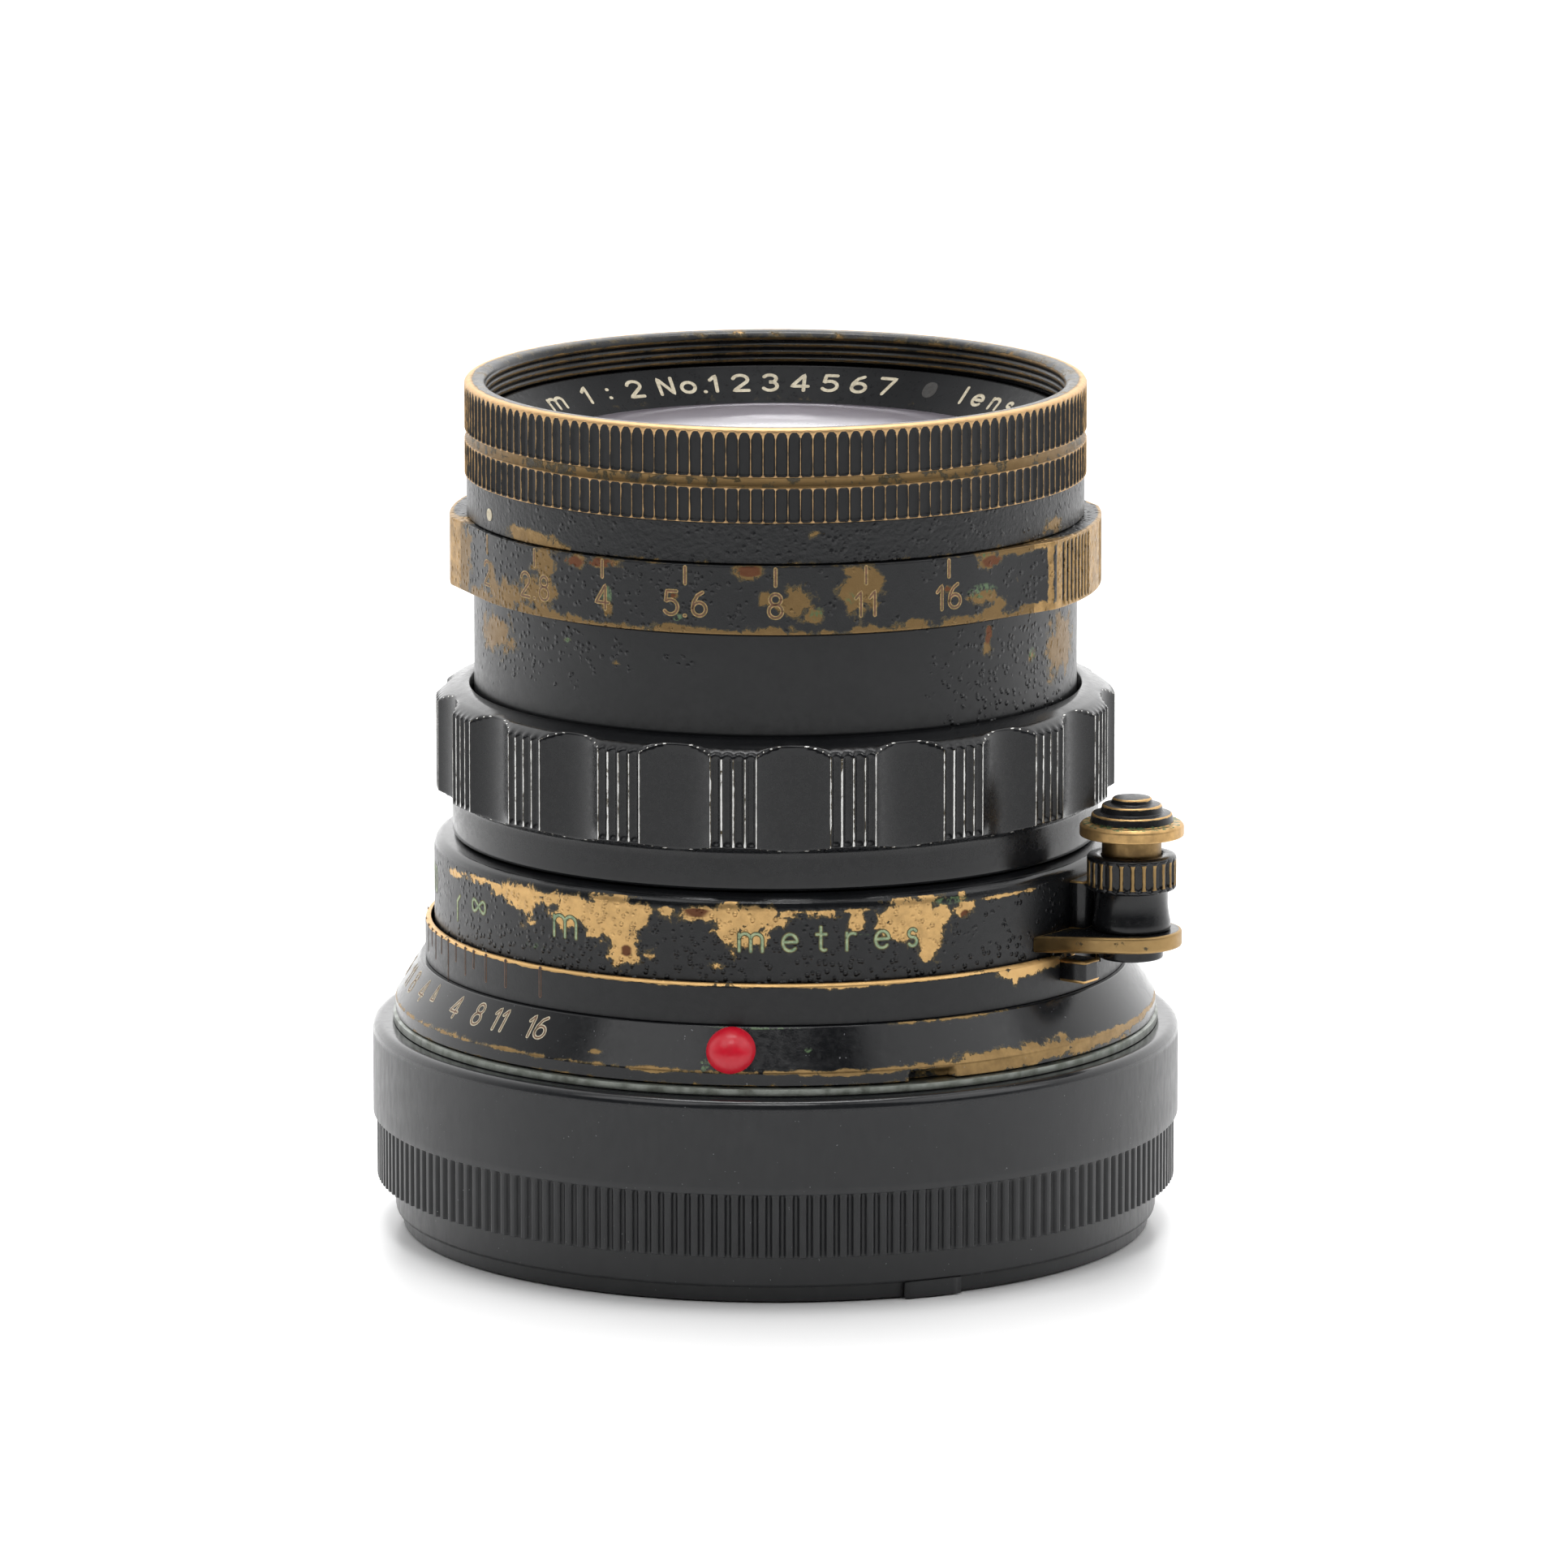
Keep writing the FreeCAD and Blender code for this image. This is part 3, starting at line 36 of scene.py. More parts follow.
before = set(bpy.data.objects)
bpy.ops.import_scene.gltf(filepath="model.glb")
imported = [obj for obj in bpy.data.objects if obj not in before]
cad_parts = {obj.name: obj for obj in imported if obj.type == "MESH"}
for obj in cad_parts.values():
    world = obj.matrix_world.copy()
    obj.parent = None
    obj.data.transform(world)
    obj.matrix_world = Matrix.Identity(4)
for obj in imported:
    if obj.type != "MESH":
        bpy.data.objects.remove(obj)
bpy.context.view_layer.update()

MM = 0.001
RIM_KNURLS = 160
CAP_RIDGES = 188
SCALLOPS = 18
SCALLOP_AZIMUTH = 3.0
EAR_AZIMUTH = 77.0
LOCK_AZIMUTH = 62.0
STOP_PITCH = 16.4
FIRST_STOP_AZIMUTH = -65.6
INDEX_AZIMUTH = -68.0


class Turned:
    """The greatest radius, the bottom and the top of a CAD node, in millimetres."""

    def __init__(self, node):
        low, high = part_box(node)
        self.radius = max(-low.x, high.x, -low.y, high.y) / MM
        self.bottom = low.z / MM
        self.top = high.z / MM
        self.middle = ((low + high) / 2) / MM


RIM = Turned("front_rim")
BARREL = Turned("front_barrel")
NAME_RING = Turned("name_ring")
GLASS = Turned("front_element")
APERTURE = Turned("aperture_ring")
HEAD = Turned("head_barrel")
FOCUS = Turned("focus_ring")
DISTANCE = Turned("distance_ring")
DEPTH = Turned("depth_scale_ring")
BASE = Turned("mount_base")
BEAD = Turned("alignment_bead")
CATCH = Turned("infinity_catch")
ARM = Turned("lock_arm")
POST = Turned("lock_post")
STEM = Turned("lock_stem")
BUTTON = Turned("lock_button")
CAP = Turned("rear_cap")

APERTURE_PLAIN_RADIUS = 21.2
GRIP_HALF_ANGLE = 19.0
GRIP_FOOT_ANGLE = 33.7
SKIRT_RADIUS = 21.9
CONE_TOP = 18.4
CONE_TOP_RADIUS = 24.13
CONE_BEND = 15.6
NOTCH_AZIMUTH = 24.0
LOCK_OFFSET = 27.0


# ---- mesh kit ----

def smoothstep(low, high, value):
    share = np.clip((value - low) / (high - low), 0.0, 1.0)
    return share * share * (3 - 2 * share)


def turned_by(azimuth):
    """How far azimuths lie from 0 the short way round, in degrees."""
    return (np.asarray(azimuth) + 180) % 360 - 180


def rounded(corners, radius=0.12, steps=3):
    """An outline whose corners are rounded off, with a point beside each bend to keep flats flat."""
    outline = []
    count = len(corners)
    for index, corner in enumerate(corners):
        here = np.array(corner[:2], float)
        before = np.array(corners[index - 1][:2], float)
        after = np.array(corners[(index + 1) % count][:2], float)
        reach = corner[2] if len(corner) > 2 else radius
        to_before = np.linalg.norm(before - here)
        to_after = np.linalg.norm(after - here)
        reach = min(reach, 0.42 * to_before, 0.42 * to_after)
        if reach < 1e-4:
            outline.append(tuple(here))
            continue
        back = (before - here) / to_before
        ahead = (after - here) / to_after
        outline.append(tuple(here + back * reach * 1.15))
        for share in np.linspace(0, 1, steps + 1):
            bend = here + back * reach * (1 - share) ** 2 + ahead * reach * share ** 2
            outline.append(tuple(bend))
        outline.append(tuple(here + ahead * reach * 1.15))
    return outline


def refined(outline, longest):
    """The closed outline with long stretches divided."""
    points = []
    for index in range(len(outline)):
        start = np.array(outline[index], float)
        end = np.array(outline[(index + 1) % len(outline)], float)
        parts = max(1, math.ceil(np.linalg.norm(end - start) / longest - 1e-6))
        for part in range(parts):
            points.append(tuple(start + (end - start) * part / parts))
    return points


def even(count):
    """Evenly spaced azimuths."""
    return np.arange(count) * 360.0 / count


def denser(coarse, fine, spans):
    """Azimuths at a coarse step, with a fine step inside the spans (first, last)."""
    azimuths = []
    azimuth = -180.0
    while azimuth < 180.0 - 1e-6:
        azimuths.append(azimuth)
        inside = any(first <= azimuth < last for first, last in spans)
        azimuth += fine if inside else coarse
    return np.array(azimuths)


def mesh_from_grid(name, points, wrap_rows):
    """A mesh of quads over a grid of points (rows, columns, 3) whose columns close on themselves."""
    rows, columns = points.shape[:2]
    index = np.arange(rows * columns).reshape(rows, columns)
    top = np.roll(index, -1, axis=0)
    if not wrap_rows:
        index, top = index[:-1], top[:-1]
    quads = np.stack([index, np.roll(index, -1, axis=1), np.roll(top, -1, axis=1), top], -1)
    quads = quads.reshape(-1, 4)
    flat = points.reshape(-1, 3)
    first, second, third, fourth = (flat[quads[:, corner]] for corner in range(4))
    volume = np.einsum("ij,ij->i", np.cross(first, second), third)
    volume += np.einsum("ij,ij->i", np.cross(first, third), fourth)
    if volume.sum() < 0:
        quads = quads[:, ::-1]
    mesh = bpy.data.meshes.new(name)
    mesh.vertices.add(len(flat))
    mesh.vertices.foreach_set("co", (flat * MM).astype(np.float32).ravel())
    mesh.loops.add(quads.size)
    mesh.loops.foreach_set("vertex_index", quads.astype(np.int32).ravel())
    mesh.polygons.add(len(quads))
    mesh.polygons.foreach_set("loop_start", np.arange(0, quads.size, 4, dtype=np.int32))
    mesh.update(calc_edges=True)
    mesh.shade_smooth()
    return mesh


def lathe(name, outline, azimuths, shape=None, marks=None, centre=(0.0, 0.0), closed=True):
    """A solid of revolution whose radius and height can vary with azimuth.

    shape(radius, height, azimuth) gives the new radius and height. marks(radius, height,
    azimuth) gives what the paint has been through at each point, by name.
    """
    profile = np.array(outline, float)
    ones = np.ones(len(azimuths))
    radius = profile[:, :1] * ones
    height = profile[:, 1:2] * ones
    azimuth = np.ones((len(profile), 1)) * turned_by(azimuths)
    worn = marks(radius, height, azimuth) if marks else {}
    if shape:
        radius, height = shape(radius, height, azimuth)
    turn = np.radians(azimuth)
    across = centre[0] + radius * np.sin(turn)
    along = centre[1] - radius * np.cos(turn)
    mesh = mesh_from_grid(name, np.stack([across, along, height], -1), closed)
    for mark, amount in worn.items():
        layer = mesh.attributes.new(mark, "FLOAT", "POINT")
        layer.data.foreach_set("value", (amount * np.ones_like(radius)).astype(np.float32).ravel())
    if not closed:
        weld(mesh)
    return link(name, mesh)


def weld(mesh):
    """Joins the points that meet on the axis."""
    edit = bmesh.new()
    edit.from_mesh(mesh)
    bmesh.ops.remove_doubles(edit, verts=edit.verts, dist=1e-7)
    edit.to_mesh(mesh)
    edit.free()


def link(name, mesh):
    piece = bpy.data.objects.new(name, mesh)
    bpy.context.scene.collection.objects.link(piece)
    return piece


def finish_piece(piece, body, material, slot, *nodes):
    """Gives a piece its material and its body, and hides the CAD nodes it stands for. The slot is not used.
    """
    piece.data.materials.append(material)
    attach(piece, body)
    if nodes:
        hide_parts(*nodes)


def patches(azimuth, height, spots):
    """How worn each place is, from spots of (azimuth, height, half width, half height, strength)."""
    worn = np.full_like(azimuth, -0.4)
    for spot_azimuth, spot_height, half_width, half_height, strength in spots:
        across = turned_by(azimuth - spot_azimuth) / half_width
        along = (height - spot_height) / half_height
        worn = np.maximum(worn, strength - 0.5 * np.sqrt(across ** 2 + along ** 2))
    return worn


def flutes(azimuth, height, count, crest_share, bottom, top, low_arch, high_arch):
    """How far a straight knurl is cut, 0 on a crest to 1 on a floor, with arched ends."""
    phase = np.abs((azimuth * count / 360 + 0.5) % 1 - 0.5) * 2
    low = np.clip((height - bottom) / low_arch, 0.0, 1.0)
    high = np.clip((top - height) / high_arch, 0.0, 1.0)
    widest = (1 - crest_share) * np.sqrt(1 - (1 - low) ** 2) * np.sqrt(1 - (1 - high) ** 2)
    return smoothstep(0.0, 0.2, widest - (1 - phase))


# ---- materials ----

class Shader:
    """A node material, and short ways to add its nodes."""

    def __init__(self, name):
        self.material = bpy.data.materials.new(name)
        self.material.use_nodes = True
        self.tree = self.material.node_tree
        self.surface = self.tree.nodes["Principled BSDF"]
        self.place = self.tree.nodes.new("ShaderNodeTexCoord").outputs["Object"]

    def add(self, kind, inputs, **settings):
        node = self.tree.nodes.new(kind)
        for setting, value in settings.items():
            setattr(node, setting, value)
        for socket, value in inputs.items():
            self.put(node.inputs[socket], value)
        return node

    def put(self, socket, value):
        if isinstance(value, bpy.types.NodeSocket):
            self.tree.links.new(value, socket)
        else:
            socket.default_value = value

    def noise(self, size, detail=4.0, rough=0.6, warp=0.0, stretch=(1.0, 1.0, 1.0)):
        """Noise whose lumps are about size millimetres across."""
        place = self.place
        if stretch != (1.0, 1.0, 1.0):
            place = self.add("ShaderNodeMapping", {"Vector": place, "Scale": stretch}).outputs[0]
        inputs = {"Vector": place, "Scale": 1 / (size * MM), "Detail": detail,
                  "Roughness": rough, "Distortion": warp}
        return self.add("ShaderNodeTexNoise", inputs).outputs[0]

    def cells(self, size):
        """The distance from the nearest of many scattered points, in cell sizes."""
        inputs = {"Vector": self.place, "Scale": 1 / (size * MM)}
        return self.add("ShaderNodeTexVoronoi", inputs).outputs["Distance"]

    def mark(self, name):
        return self.add("ShaderNodeAttribute", {}, attribute_name=name).outputs["Fac"]

    def maths(self, operation, first, second=0.0):
        return self.add("ShaderNodeMath", {0: first, 1: second}, operation=operation).outputs[0]

    def step(self, low, high, value, start=0.0, end=1.0):
        inputs = {"Value": value, "From Min": low, "From Max": high, "To Min": start, "To Max": end}
        return self.add("ShaderNodeMapRange", inputs, interpolation_type="SMOOTHSTEP").outputs[0]

    def mix(self, share, first, second):
        node = self.tree.nodes.new("ShaderNodeMix")
        node.data_type = "RGBA"
        for socket, value in ((0, share), (6, first), (7, second)):
            self.put(node.inputs[socket], value)
        return node.outputs[2]

    def bump(self, height, distance, under=None):
        """Relief of a height from 0 to 1, distance millimetres deep."""
        inputs = {"Height": height, "Distance": distance * MM}
        if under is not None:
            inputs["Normal"] = under
        return self.add("ShaderNodeBump", inputs).outputs[0]

    def shade(self, **sockets):
        for name, value in sockets.items():
            self.put(self.surface.inputs[name.replace("_", " ")], value)
        return self.material


def colour(red, green, blue):
    """A colour given as screen values from 0 to 255."""
    channels = [channel / 255 for channel in (red, green, blue)]
    linear = [((c + 0.055) / 1.055) ** 2.4 if c > 0.04 else c / 12.92 for c in channels]
    return (*linear, 1.0)


BRIGHT_BRASS = colour(206, 168, 112)
DULL_BRASS = colour(158, 130, 86)
AGED_BRASS = colour(116, 94, 62)
COPPER_BROWN = colour(98, 64, 46)
OLIVE_RIM = colour(84, 72, 42)
VERDIGRIS = colour(84, 106, 74)
SILVER = colour(214, 214, 212)


def worn_paint(name, paint, gloss, under=BRIGHT_BRASS, aged=AGED_BRASS, ragged=1.7, grain=0.0,
               grain_size=0.12, blister=0.0, metal_gloss=0.4, dust=0.0, lump=1.1, density=1.42):
    """Black paint that has worn through to metal where the mesh is marked as worn."""
    shader = Shader(name)
    lumps = shader.noise(lump, 8.0, 0.66, 0.3)
    reach = shader.maths("MULTIPLY", shader.maths("SUBTRACT", 1.0, shader.mark("steady")), ragged)
    loss = shader.maths("ADD", shader.mark("worn"),
                        shader.maths("MULTIPLY", shader.maths("SUBTRACT", lumps, 0.5), reach))
    bare = shader.step(0.47, 0.52, loss)
    fringe = shader.step(0.32, 0.47, loss)
    blotches = shader.noise(0.8, 5.0, 0.65)
    tone = shader.maths("ADD", shader.mark("aged"),
                        shader.maths("MULTIPLY", shader.maths("SUBTRACT", blotches, 0.5), 0.9))
    metal = shader.mix(shader.step(0.1, 0.95, tone), under, aged)
    metal = shader.mix(shader.step(0.45, 0.6, shader.mark("stain")), metal, COPPER_BROWN)
    film = shader.mix(shader.noise(2.2, 3.0), paint, colour(25, 26, 28))
    film = shader.mix(shader.maths("MULTIPLY", fringe, 0.8), film, OLIVE_RIM)
    skin = shader.mix(bare, film, metal)
    green = shader.maths("MULTIPLY", shader.step(0.42, 0.6, shader.mark("green")),
                         shader.step(0.45, 0.6, shader.noise(0.35, 5.0)))
    skin = shader.mix(green, skin, VERDIGRIS)
    metallic = shader.maths("MULTIPLY", bare, 0.9)
    scuffs = shader.noise(0.5, 6.0, 0.7)
    film_gloss = shader.step(0.2, 0.8, scuffs, gloss - 0.07, gloss + 0.09)
    film_gloss = shader.maths("SUBTRACT", film_gloss, shader.maths("MULTIPLY", shader.mark("polish"), 0.2))
    metal_rough = shader.step(0.2, 0.8, scuffs, metal_gloss - 0.08, metal_gloss + 0.14)
    rough = shader.add("ShaderNodeMix", {0: bare, 2: film_gloss, 3: metal_rough}).outputs[0]
    if dust:
        specks = shader.step(0.74, 0.78, shader.noise(0.18, 2.0, 0.4))
        skin = shader.mix(shader.maths("MULTIPLY", specks, dust), skin, colour(150, 152, 155))
    relief = shader.bump(shader.step(0.44, 0.5, loss, 1.0, 0.0), 0.03)
    if grain:
        relief = shader.bump(shader.noise(grain_size, 3.0, 0.55), grain, relief)
    if blister:
        likely = shader.maths("MULTIPLY", shader.mark("blister"), 0.36)
        crowd = shader.step(0.68, 0.82, shader.maths("ADD", shader.noise(1.6, 3.0), likely))
        pimples = shader.step(0.12, 0.44, shader.cells(0.5), 1.0, 0.0)
        relief = shader.bump(shader.maths("MULTIPLY", pimples, crowd), blister, relief)
    return shader.shade(Base_Color=skin, Metallic=metallic, Roughness=rough, Normal=relief, IOR=density)


def plain_metal(name, light, dark, rough, scratch=0.006):
    """Bare metal with turning marks round the axis and a little staining."""
    shader = Shader(name)
    stains = shader.noise(1.1, 5.0, 0.6)
    turning = shader.noise(0.12, 2.0, 0.5, 0.0, (0.15, 0.15, 2.0))
    skin = shader.mix(shader.step(0.35, 0.75, stains), light, dark)
    gloss = shader.step(0.3, 0.7, stains, rough - 0.06, rough + 0.1)
    return shader.shade(Base_Color=skin, Metallic=1.0, Roughness=gloss,
                        Normal=shader.bump(turning, scratch))


def anodised_black():
    shader = Shader("anodised_black")
    skin = shader.mix(shader.noise(1.5, 4.0), colour(24, 24, 26), colour(38, 38, 40))
    return shader.shade(Base_Color=skin, Roughness=shader.step(0.3, 0.7, shader.noise(0.3), 0.5, 0.65),
                        Normal=shader.bump(shader.noise(0.08), 0.004))


def moulded_plastic():
    """Satin dark grey plastic with fine scuffs and a little dust."""
    shader = Shader("moulded_plastic")
    skin = shader.mix(shader.noise(3.0, 4.0), colour(26, 27, 29), colour(33, 34, 36))
    specks = shader.step(0.76, 0.79, shader.noise(0.2, 2.0, 0.4))
    skin = shader.mix(shader.maths("MULTIPLY", specks, 0.5), skin, colour(140, 142, 144))
    scuffs = shader.noise(0.5, 5.0, 0.6, 0.2, (1.0, 1.0, 0.35))
    relief = shader.bump(shader.noise(0.09, 2.0), 0.003)
    gloss = shader.maths("SUBTRACT", shader.step(0.25, 0.75, scuffs, 0.31, 0.42),
                         shader.maths("MULTIPLY", shader.mark("polish"), 0.2))
    return shader.shade(Base_Color=skin, Roughness=gloss,
                        Normal=shader.bump(scuffs, 0.006, relief), IOR=1.47)


def coated_glass(name, density):
    """Lens glass with a purple coating, hazier where it is seen at a grazing angle."""
    shader = Shader(name)
    haze = shader.step(0.4, 0.8, shader.noise(3.0, 6.0), 0.0, 0.035)
    grazing = shader.add("ShaderNodeLayerWeight", {"Blend": 0.5}).outputs["Facing"]
    haze = shader.maths("MAXIMUM", haze, shader.step(0.8, 0.88, grazing, 0.0, 0.7))
    shader.surface.inputs["Specular Tint"].default_value = colour(142, 118, 148)
    return shader.shade(Base_Color=colour(244, 240, 246), Roughness=haze, IOR=density,
                        Transmission_Weight=1.0)


def red_enamel():
    shader = Shader("red_enamel")
    skin = shader.mix(shader.noise(1.2, 3.0), colour(206, 18, 44), colour(186, 12, 36))
    return shader.shade(Base_Color=skin, Roughness=shader.step(0.3, 0.7, shader.noise(0.5), 0.28, 0.4),
                        IOR=1.5)


def fill(name, light, dark, rough=0.55, metallic=0.0):
    """Paint or dirt in an engraved line, and once painted shade: a dark strip where a key slot would be."""
    shader = Shader(name)
    skin = shader.mix(shader.step(0.35, 0.65, shader.noise(0.25, 5.0, 0.7)), light, dark)
    gloss = shader.step(0.3, 0.7, shader.noise(0.3), rough - 0.08, rough + 0.1)
    return shader.shade(Base_Color=skin, Metallic=metallic, Roughness=gloss,
                        Normal=shader.bump(shader.noise(0.08), 0.01))


BLACK = colour(15, 16, 18)
PAINT = worn_paint("worn_black_paint", BLACK, 0.36, grain=0.008, grain_size=0.2, blister=0.05)
INDEX_PAINT = worn_paint("leathery_black_paint", BLACK, 0.36, under=DULL_BRASS, grain=0.05, grain_size=0.35,
                         blister=0.07)
HEAD_PAINT = worn_paint("head_barrel_paint", BLACK, 0.34, under=DULL_BRASS, grain=0.004, blister=0.09)
EDGE_PAINT = worn_paint("edge_worn_paint", BLACK, 0.3, ragged=1.1, grain=0.004)
ARM_PAINT = worn_paint("lock_paint", colour(11, 12, 14), 0.22, under=DULL_BRASS, ragged=0.9, grain=0.003)
RIM_PAINT = worn_paint("rim_paint", BLACK, 0.42, under=colour(204, 168, 122), ragged=1.0, grain=0.004,
                       metal_gloss=0.45)
BLISTERED = worn_paint("blistered_black_paint", BLACK, 0.34, ragged=1.9, grain=0.01, blister=0.11)
GLOSSY = worn_paint("glossy_black_paint", colour(9, 10, 13), 0.17, under=DULL_BRASS, grain=0.003, dust=0.5)
FOCUS_PAINT = worn_paint("focus_ring_black", BLACK, 0.27, under=SILVER, aged=colour(120, 120, 120),
                         ragged=0.75, grain=0.003, metal_gloss=0.3, lump=0.8)
NAME_PAINT = worn_paint("name_ring_black", colour(8, 9, 11), 0.3, ragged=1.0, density=1.22)
BRASS = plain_metal("brass", BRIGHT_BRASS, AGED_BRASS, 0.34)
STEEL = plain_metal("steel", colour(180, 180, 178), colour(140, 138, 134), 0.3)
BLADE_STEEL = plain_metal("blade_steel", colour(58, 58, 62), colour(42, 42, 46), 0.42)
CHROME = plain_metal("chrome", colour(130, 134, 128), colour(98, 102, 94), 0.34, 0.002)
ANODISED = anodised_black()
PLASTIC = moulded_plastic()
COATED_GLASS = coated_glass("coated_glass", 1.3)
FRONT_GLASS = coated_glass("front_coated_glass", 1.85)
RED = red_enamel()
CREAM_FILL = fill("cream_fill", colour(205, 196, 172), colour(176, 164, 138))
TAN_FILL = fill("tan_fill", colour(178, 150, 104), colour(128, 110, 66), metallic=0.3)
COPPER_FILL = fill("copper_fill", colour(112, 74, 52), colour(86, 66, 44))
OLIVE_FILL = fill("olive_fill", colour(98, 88, 44), colour(66, 66, 36))
GREEN_FILL = fill("green_fill", colour(166, 178, 138), colour(112, 138, 108))
# Dark fill for the depth lines, also used as painted shade for the name ring's key slot.
DARK_FILL_AND_SLOT_SHADE = fill("dark_fill_and_slot_shade", colour(20, 19, 17), colour(34, 30, 24))

SLOT_MATERIALS = {
    "black_paint": PAINT,
    "focus_ring_paint": FOCUS_PAINT,
    "black_anodised": ANODISED,
    "brass": BRASS,
    "chrome": CHROME,
    "steel": STEEL,
    "blade_steel": BLADE_STEEL,
    "glass": COATED_GLASS,
    "red_bead": RED,
    "cap_plastic": PLASTIC,
}


def dress_cad_nodes():
    """Gives every CAD node the procedural material of its slot."""
    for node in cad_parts.values():
        for material_slot in node.material_slots:
            material_slot.material = SLOT_MATERIALS[material_slot.material.name]


# ---- lettering ----

def arc(x, y, radius, first, last, steps=12, tall=1.0):
    """Points on part of a circle, from one angle to another."""
    angles = np.radians(np.linspace(first, last, steps))
    return [(x + radius * math.cos(a), y + radius * tall * math.sin(a)) for a in angles]


# Strokes of each figure in a box one unit high, drawn as an engraver's pantograph follows them.
GLYPHS = {
    "0": (0.60, [arc(0.30, 0.5, 0.28, 90, 450, 24, 1.75)]),
    "1": (0.36, [[(0.04, 0.74), (0.26, 1.0), (0.26, 0.0)]]),
    "2": (0.60, [arc(0.30, 0.71, 0.28, 165, -38) + [(0.02, 0.0), (0.60, 0.0)]]),
    "3": (0.58, [arc(0.28, 0.75, 0.24, 150, -90) + arc(0.28, 0.27, 0.28, 90, -150)]),
    "4": (0.62, [[(0.46, 0.0), (0.46, 1.0), (0.0, 0.27), (0.62, 0.27)]]),
    "5": (0.60, [[(0.54, 1.0), (0.12, 1.0), (0.07, 0.57)] + arc(0.28, 0.33, 0.31, 128, -145)]),
    "6": (0.60, [arc(0.30, 0.30, 0.28, 0, 360, 20),
                 [(0.02, 0.30), (0.06, 0.58), (0.22, 0.86), (0.44, 1.0)]]),
    "7": (0.60, [[(0.0, 1.0), (0.58, 1.0), (0.18, 0.0)]]),
    "8": (0.60, [arc(0.30, 0.76, 0.23, 0, 360, 18), arc(0.30, 0.27, 0.28, 0, 360, 20)]),
    "9": (0.60, [arc(0.30, 0.70, 0.28, 0, 360, 20),
                 [(0.58, 0.70), (0.54, 0.42), (0.38, 0.14), (0.16, 0.0)]]),
    ".": (0.14, [[(0.05, 0.0), (0.08, 0.0)]]),
    ":": (0.16, [[(0.06, 0.12), (0.09, 0.12)], [(0.06, 0.66), (0.09, 0.66)]]),
    "m": (0.96, [[(0.04, 0.0), (0.04, 0.66)],
                 arc(0.26, 0.46, 0.22, 180, 0) + [(0.48, 0.0)],
                 arc(0.70, 0.46, 0.22, 180, 0) + [(0.92, 0.0)]]),
    "e": (0.58, [[(0.04, 0.36), (0.54, 0.36)] + arc(0.29, 0.34, 0.27, 5, 315, 18, 1.2)]),
    "t": (0.40, [[(0.16, 0.92), (0.16, 0.14)] + arc(0.28, 0.14, 0.12, 180, 300, 6),
                 [(0.0, 0.64), (0.36, 0.64)]]),
    "r": (0.42, [[(0.04, 0.0), (0.04, 0.66)], arc(0.26, 0.42, 0.22, 175, 60, 8)]),
    "s": (0.46, [arc(0.22, 0.49, 0.16, 30, 250, 10) + arc(0.22, 0.17, 0.17, 80, -150, 12)]),
    "∞": (1.10, [[(0.55 + 0.48 * math.sin(t), 0.40 + 0.22 * math.sin(2 * t))
                       for t in np.linspace(0, 2 * math.pi, 32)]]),
    "N": (0.62, [[(0.04, 0.0), (0.04, 1.0), (0.58, 0.0), (0.58, 1.0)]]),
    "o": (0.58, [arc(0.29, 0.34, 0.27, 0, 360, 20, 1.2)]),
    "l": (0.12, [[(0.06, 0.0), (0.06, 1.0)]]),
    "n": (0.52, [[(0.04, 0.0), (0.04, 0.66)], arc(0.26, 0.46, 0.22, 180, 0) + [(0.48, 0.0)]]),
}


class RoundFace:
    """A turned face that lettering lies on, from the letters' foot upwards.

    out and up are the change in radius and height for each millimetre up the letters. turn is
    1 where the letters read towards greater azimuths, and -1 where they read the other way.
    """

    def __init__(self, radius, height, out=0.0, up=1.0, turn=1):
        self.radius = radius
        self.height = height
        self.out = out
        self.up = up
        self.turn = turn

    def point(self, azimuth, across, along, lift):
        radius = self.radius + self.out * along + self.turn * self.up * lift
        height = self.height + self.up * along - self.turn * self.out * lift
        angle = math.radians(azimuth + self.turn * math.degrees(across / self.radius))
        return (radius * math.sin(angle), -radius * math.cos(angle), height)


def ribbon(edit, path, width, lift, place, step=0.12):
    """One engraved stroke: a thin strip with rounded ends that follows a path of (across, along)."""
    sunk = 0.04
    line = [np.array(point, float) for point in path]
    dense = [line[0]]
    for start, end in zip(line, line[1:]):
        parts = max(1, math.ceil(np.linalg.norm(end - start) / step))
        dense += [start + (end - start) * part / parts for part in range(1, parts + 1)]
    sections = []
    for index, point in enumerate(dense):
        ahead = dense[min(index + 1, len(dense) - 1)] - dense[max(index - 1, 0)]
        ahead = ahead / max(np.linalg.norm(ahead), 1e-9)
        sections.append((point, ahead, width / 2))
    ends = []
    for share in (0.45, 0.8, 0.98):
        ends.append((share * width / 2, width / 2 * math.sqrt(1 - share ** 2)))
    first_point, first_ahead, _ = sections[0]
    last_point, last_ahead, _ = sections[-1]
    head = [(first_point - first_ahead * reach, first_ahead, half) for reach, half in reversed(ends)]
    tail = [(last_point + last_ahead * reach, last_ahead, half) for reach, half in ends]
    loops = []
    for point, ahead, half in head + sections + tail:
        side = np.array((-ahead[1], ahead[0])) * half
        corners = ((point + side, -sunk), (point + side, lift), (point - side, lift), (point - side, -sunk))
        loops.append([edit.verts.new(Vector(place(*spot, up)) * MM) for spot, up in corners])
    for near, far in zip(loops, loops[1:]):
        for corner in range(4):
            beside = (corner + 1) % 4
            edit.faces.new((near[corner], near[beside], far[beside], far[corner]))
    edit.faces.new(loops[0][::-1])
    edit.faces.new(loops[-1])


def text_strokes(text, tall, slant, gap, stretch):
    """The strokes of a word of a given height, centred on 0."""
    cursor = 0.0
    strokes = []
    for letter in text:
        width, paths = GLYPHS[letter]
        for path in paths:
            strokes.append([((cursor + x + slant * y) * tall * stretch, y * tall) for x, y in path])
        cursor += width + gap
    half = (cursor - gap) * tall * stretch / 2
    return [[(x - half, y) for x, y in path] for path in strokes]


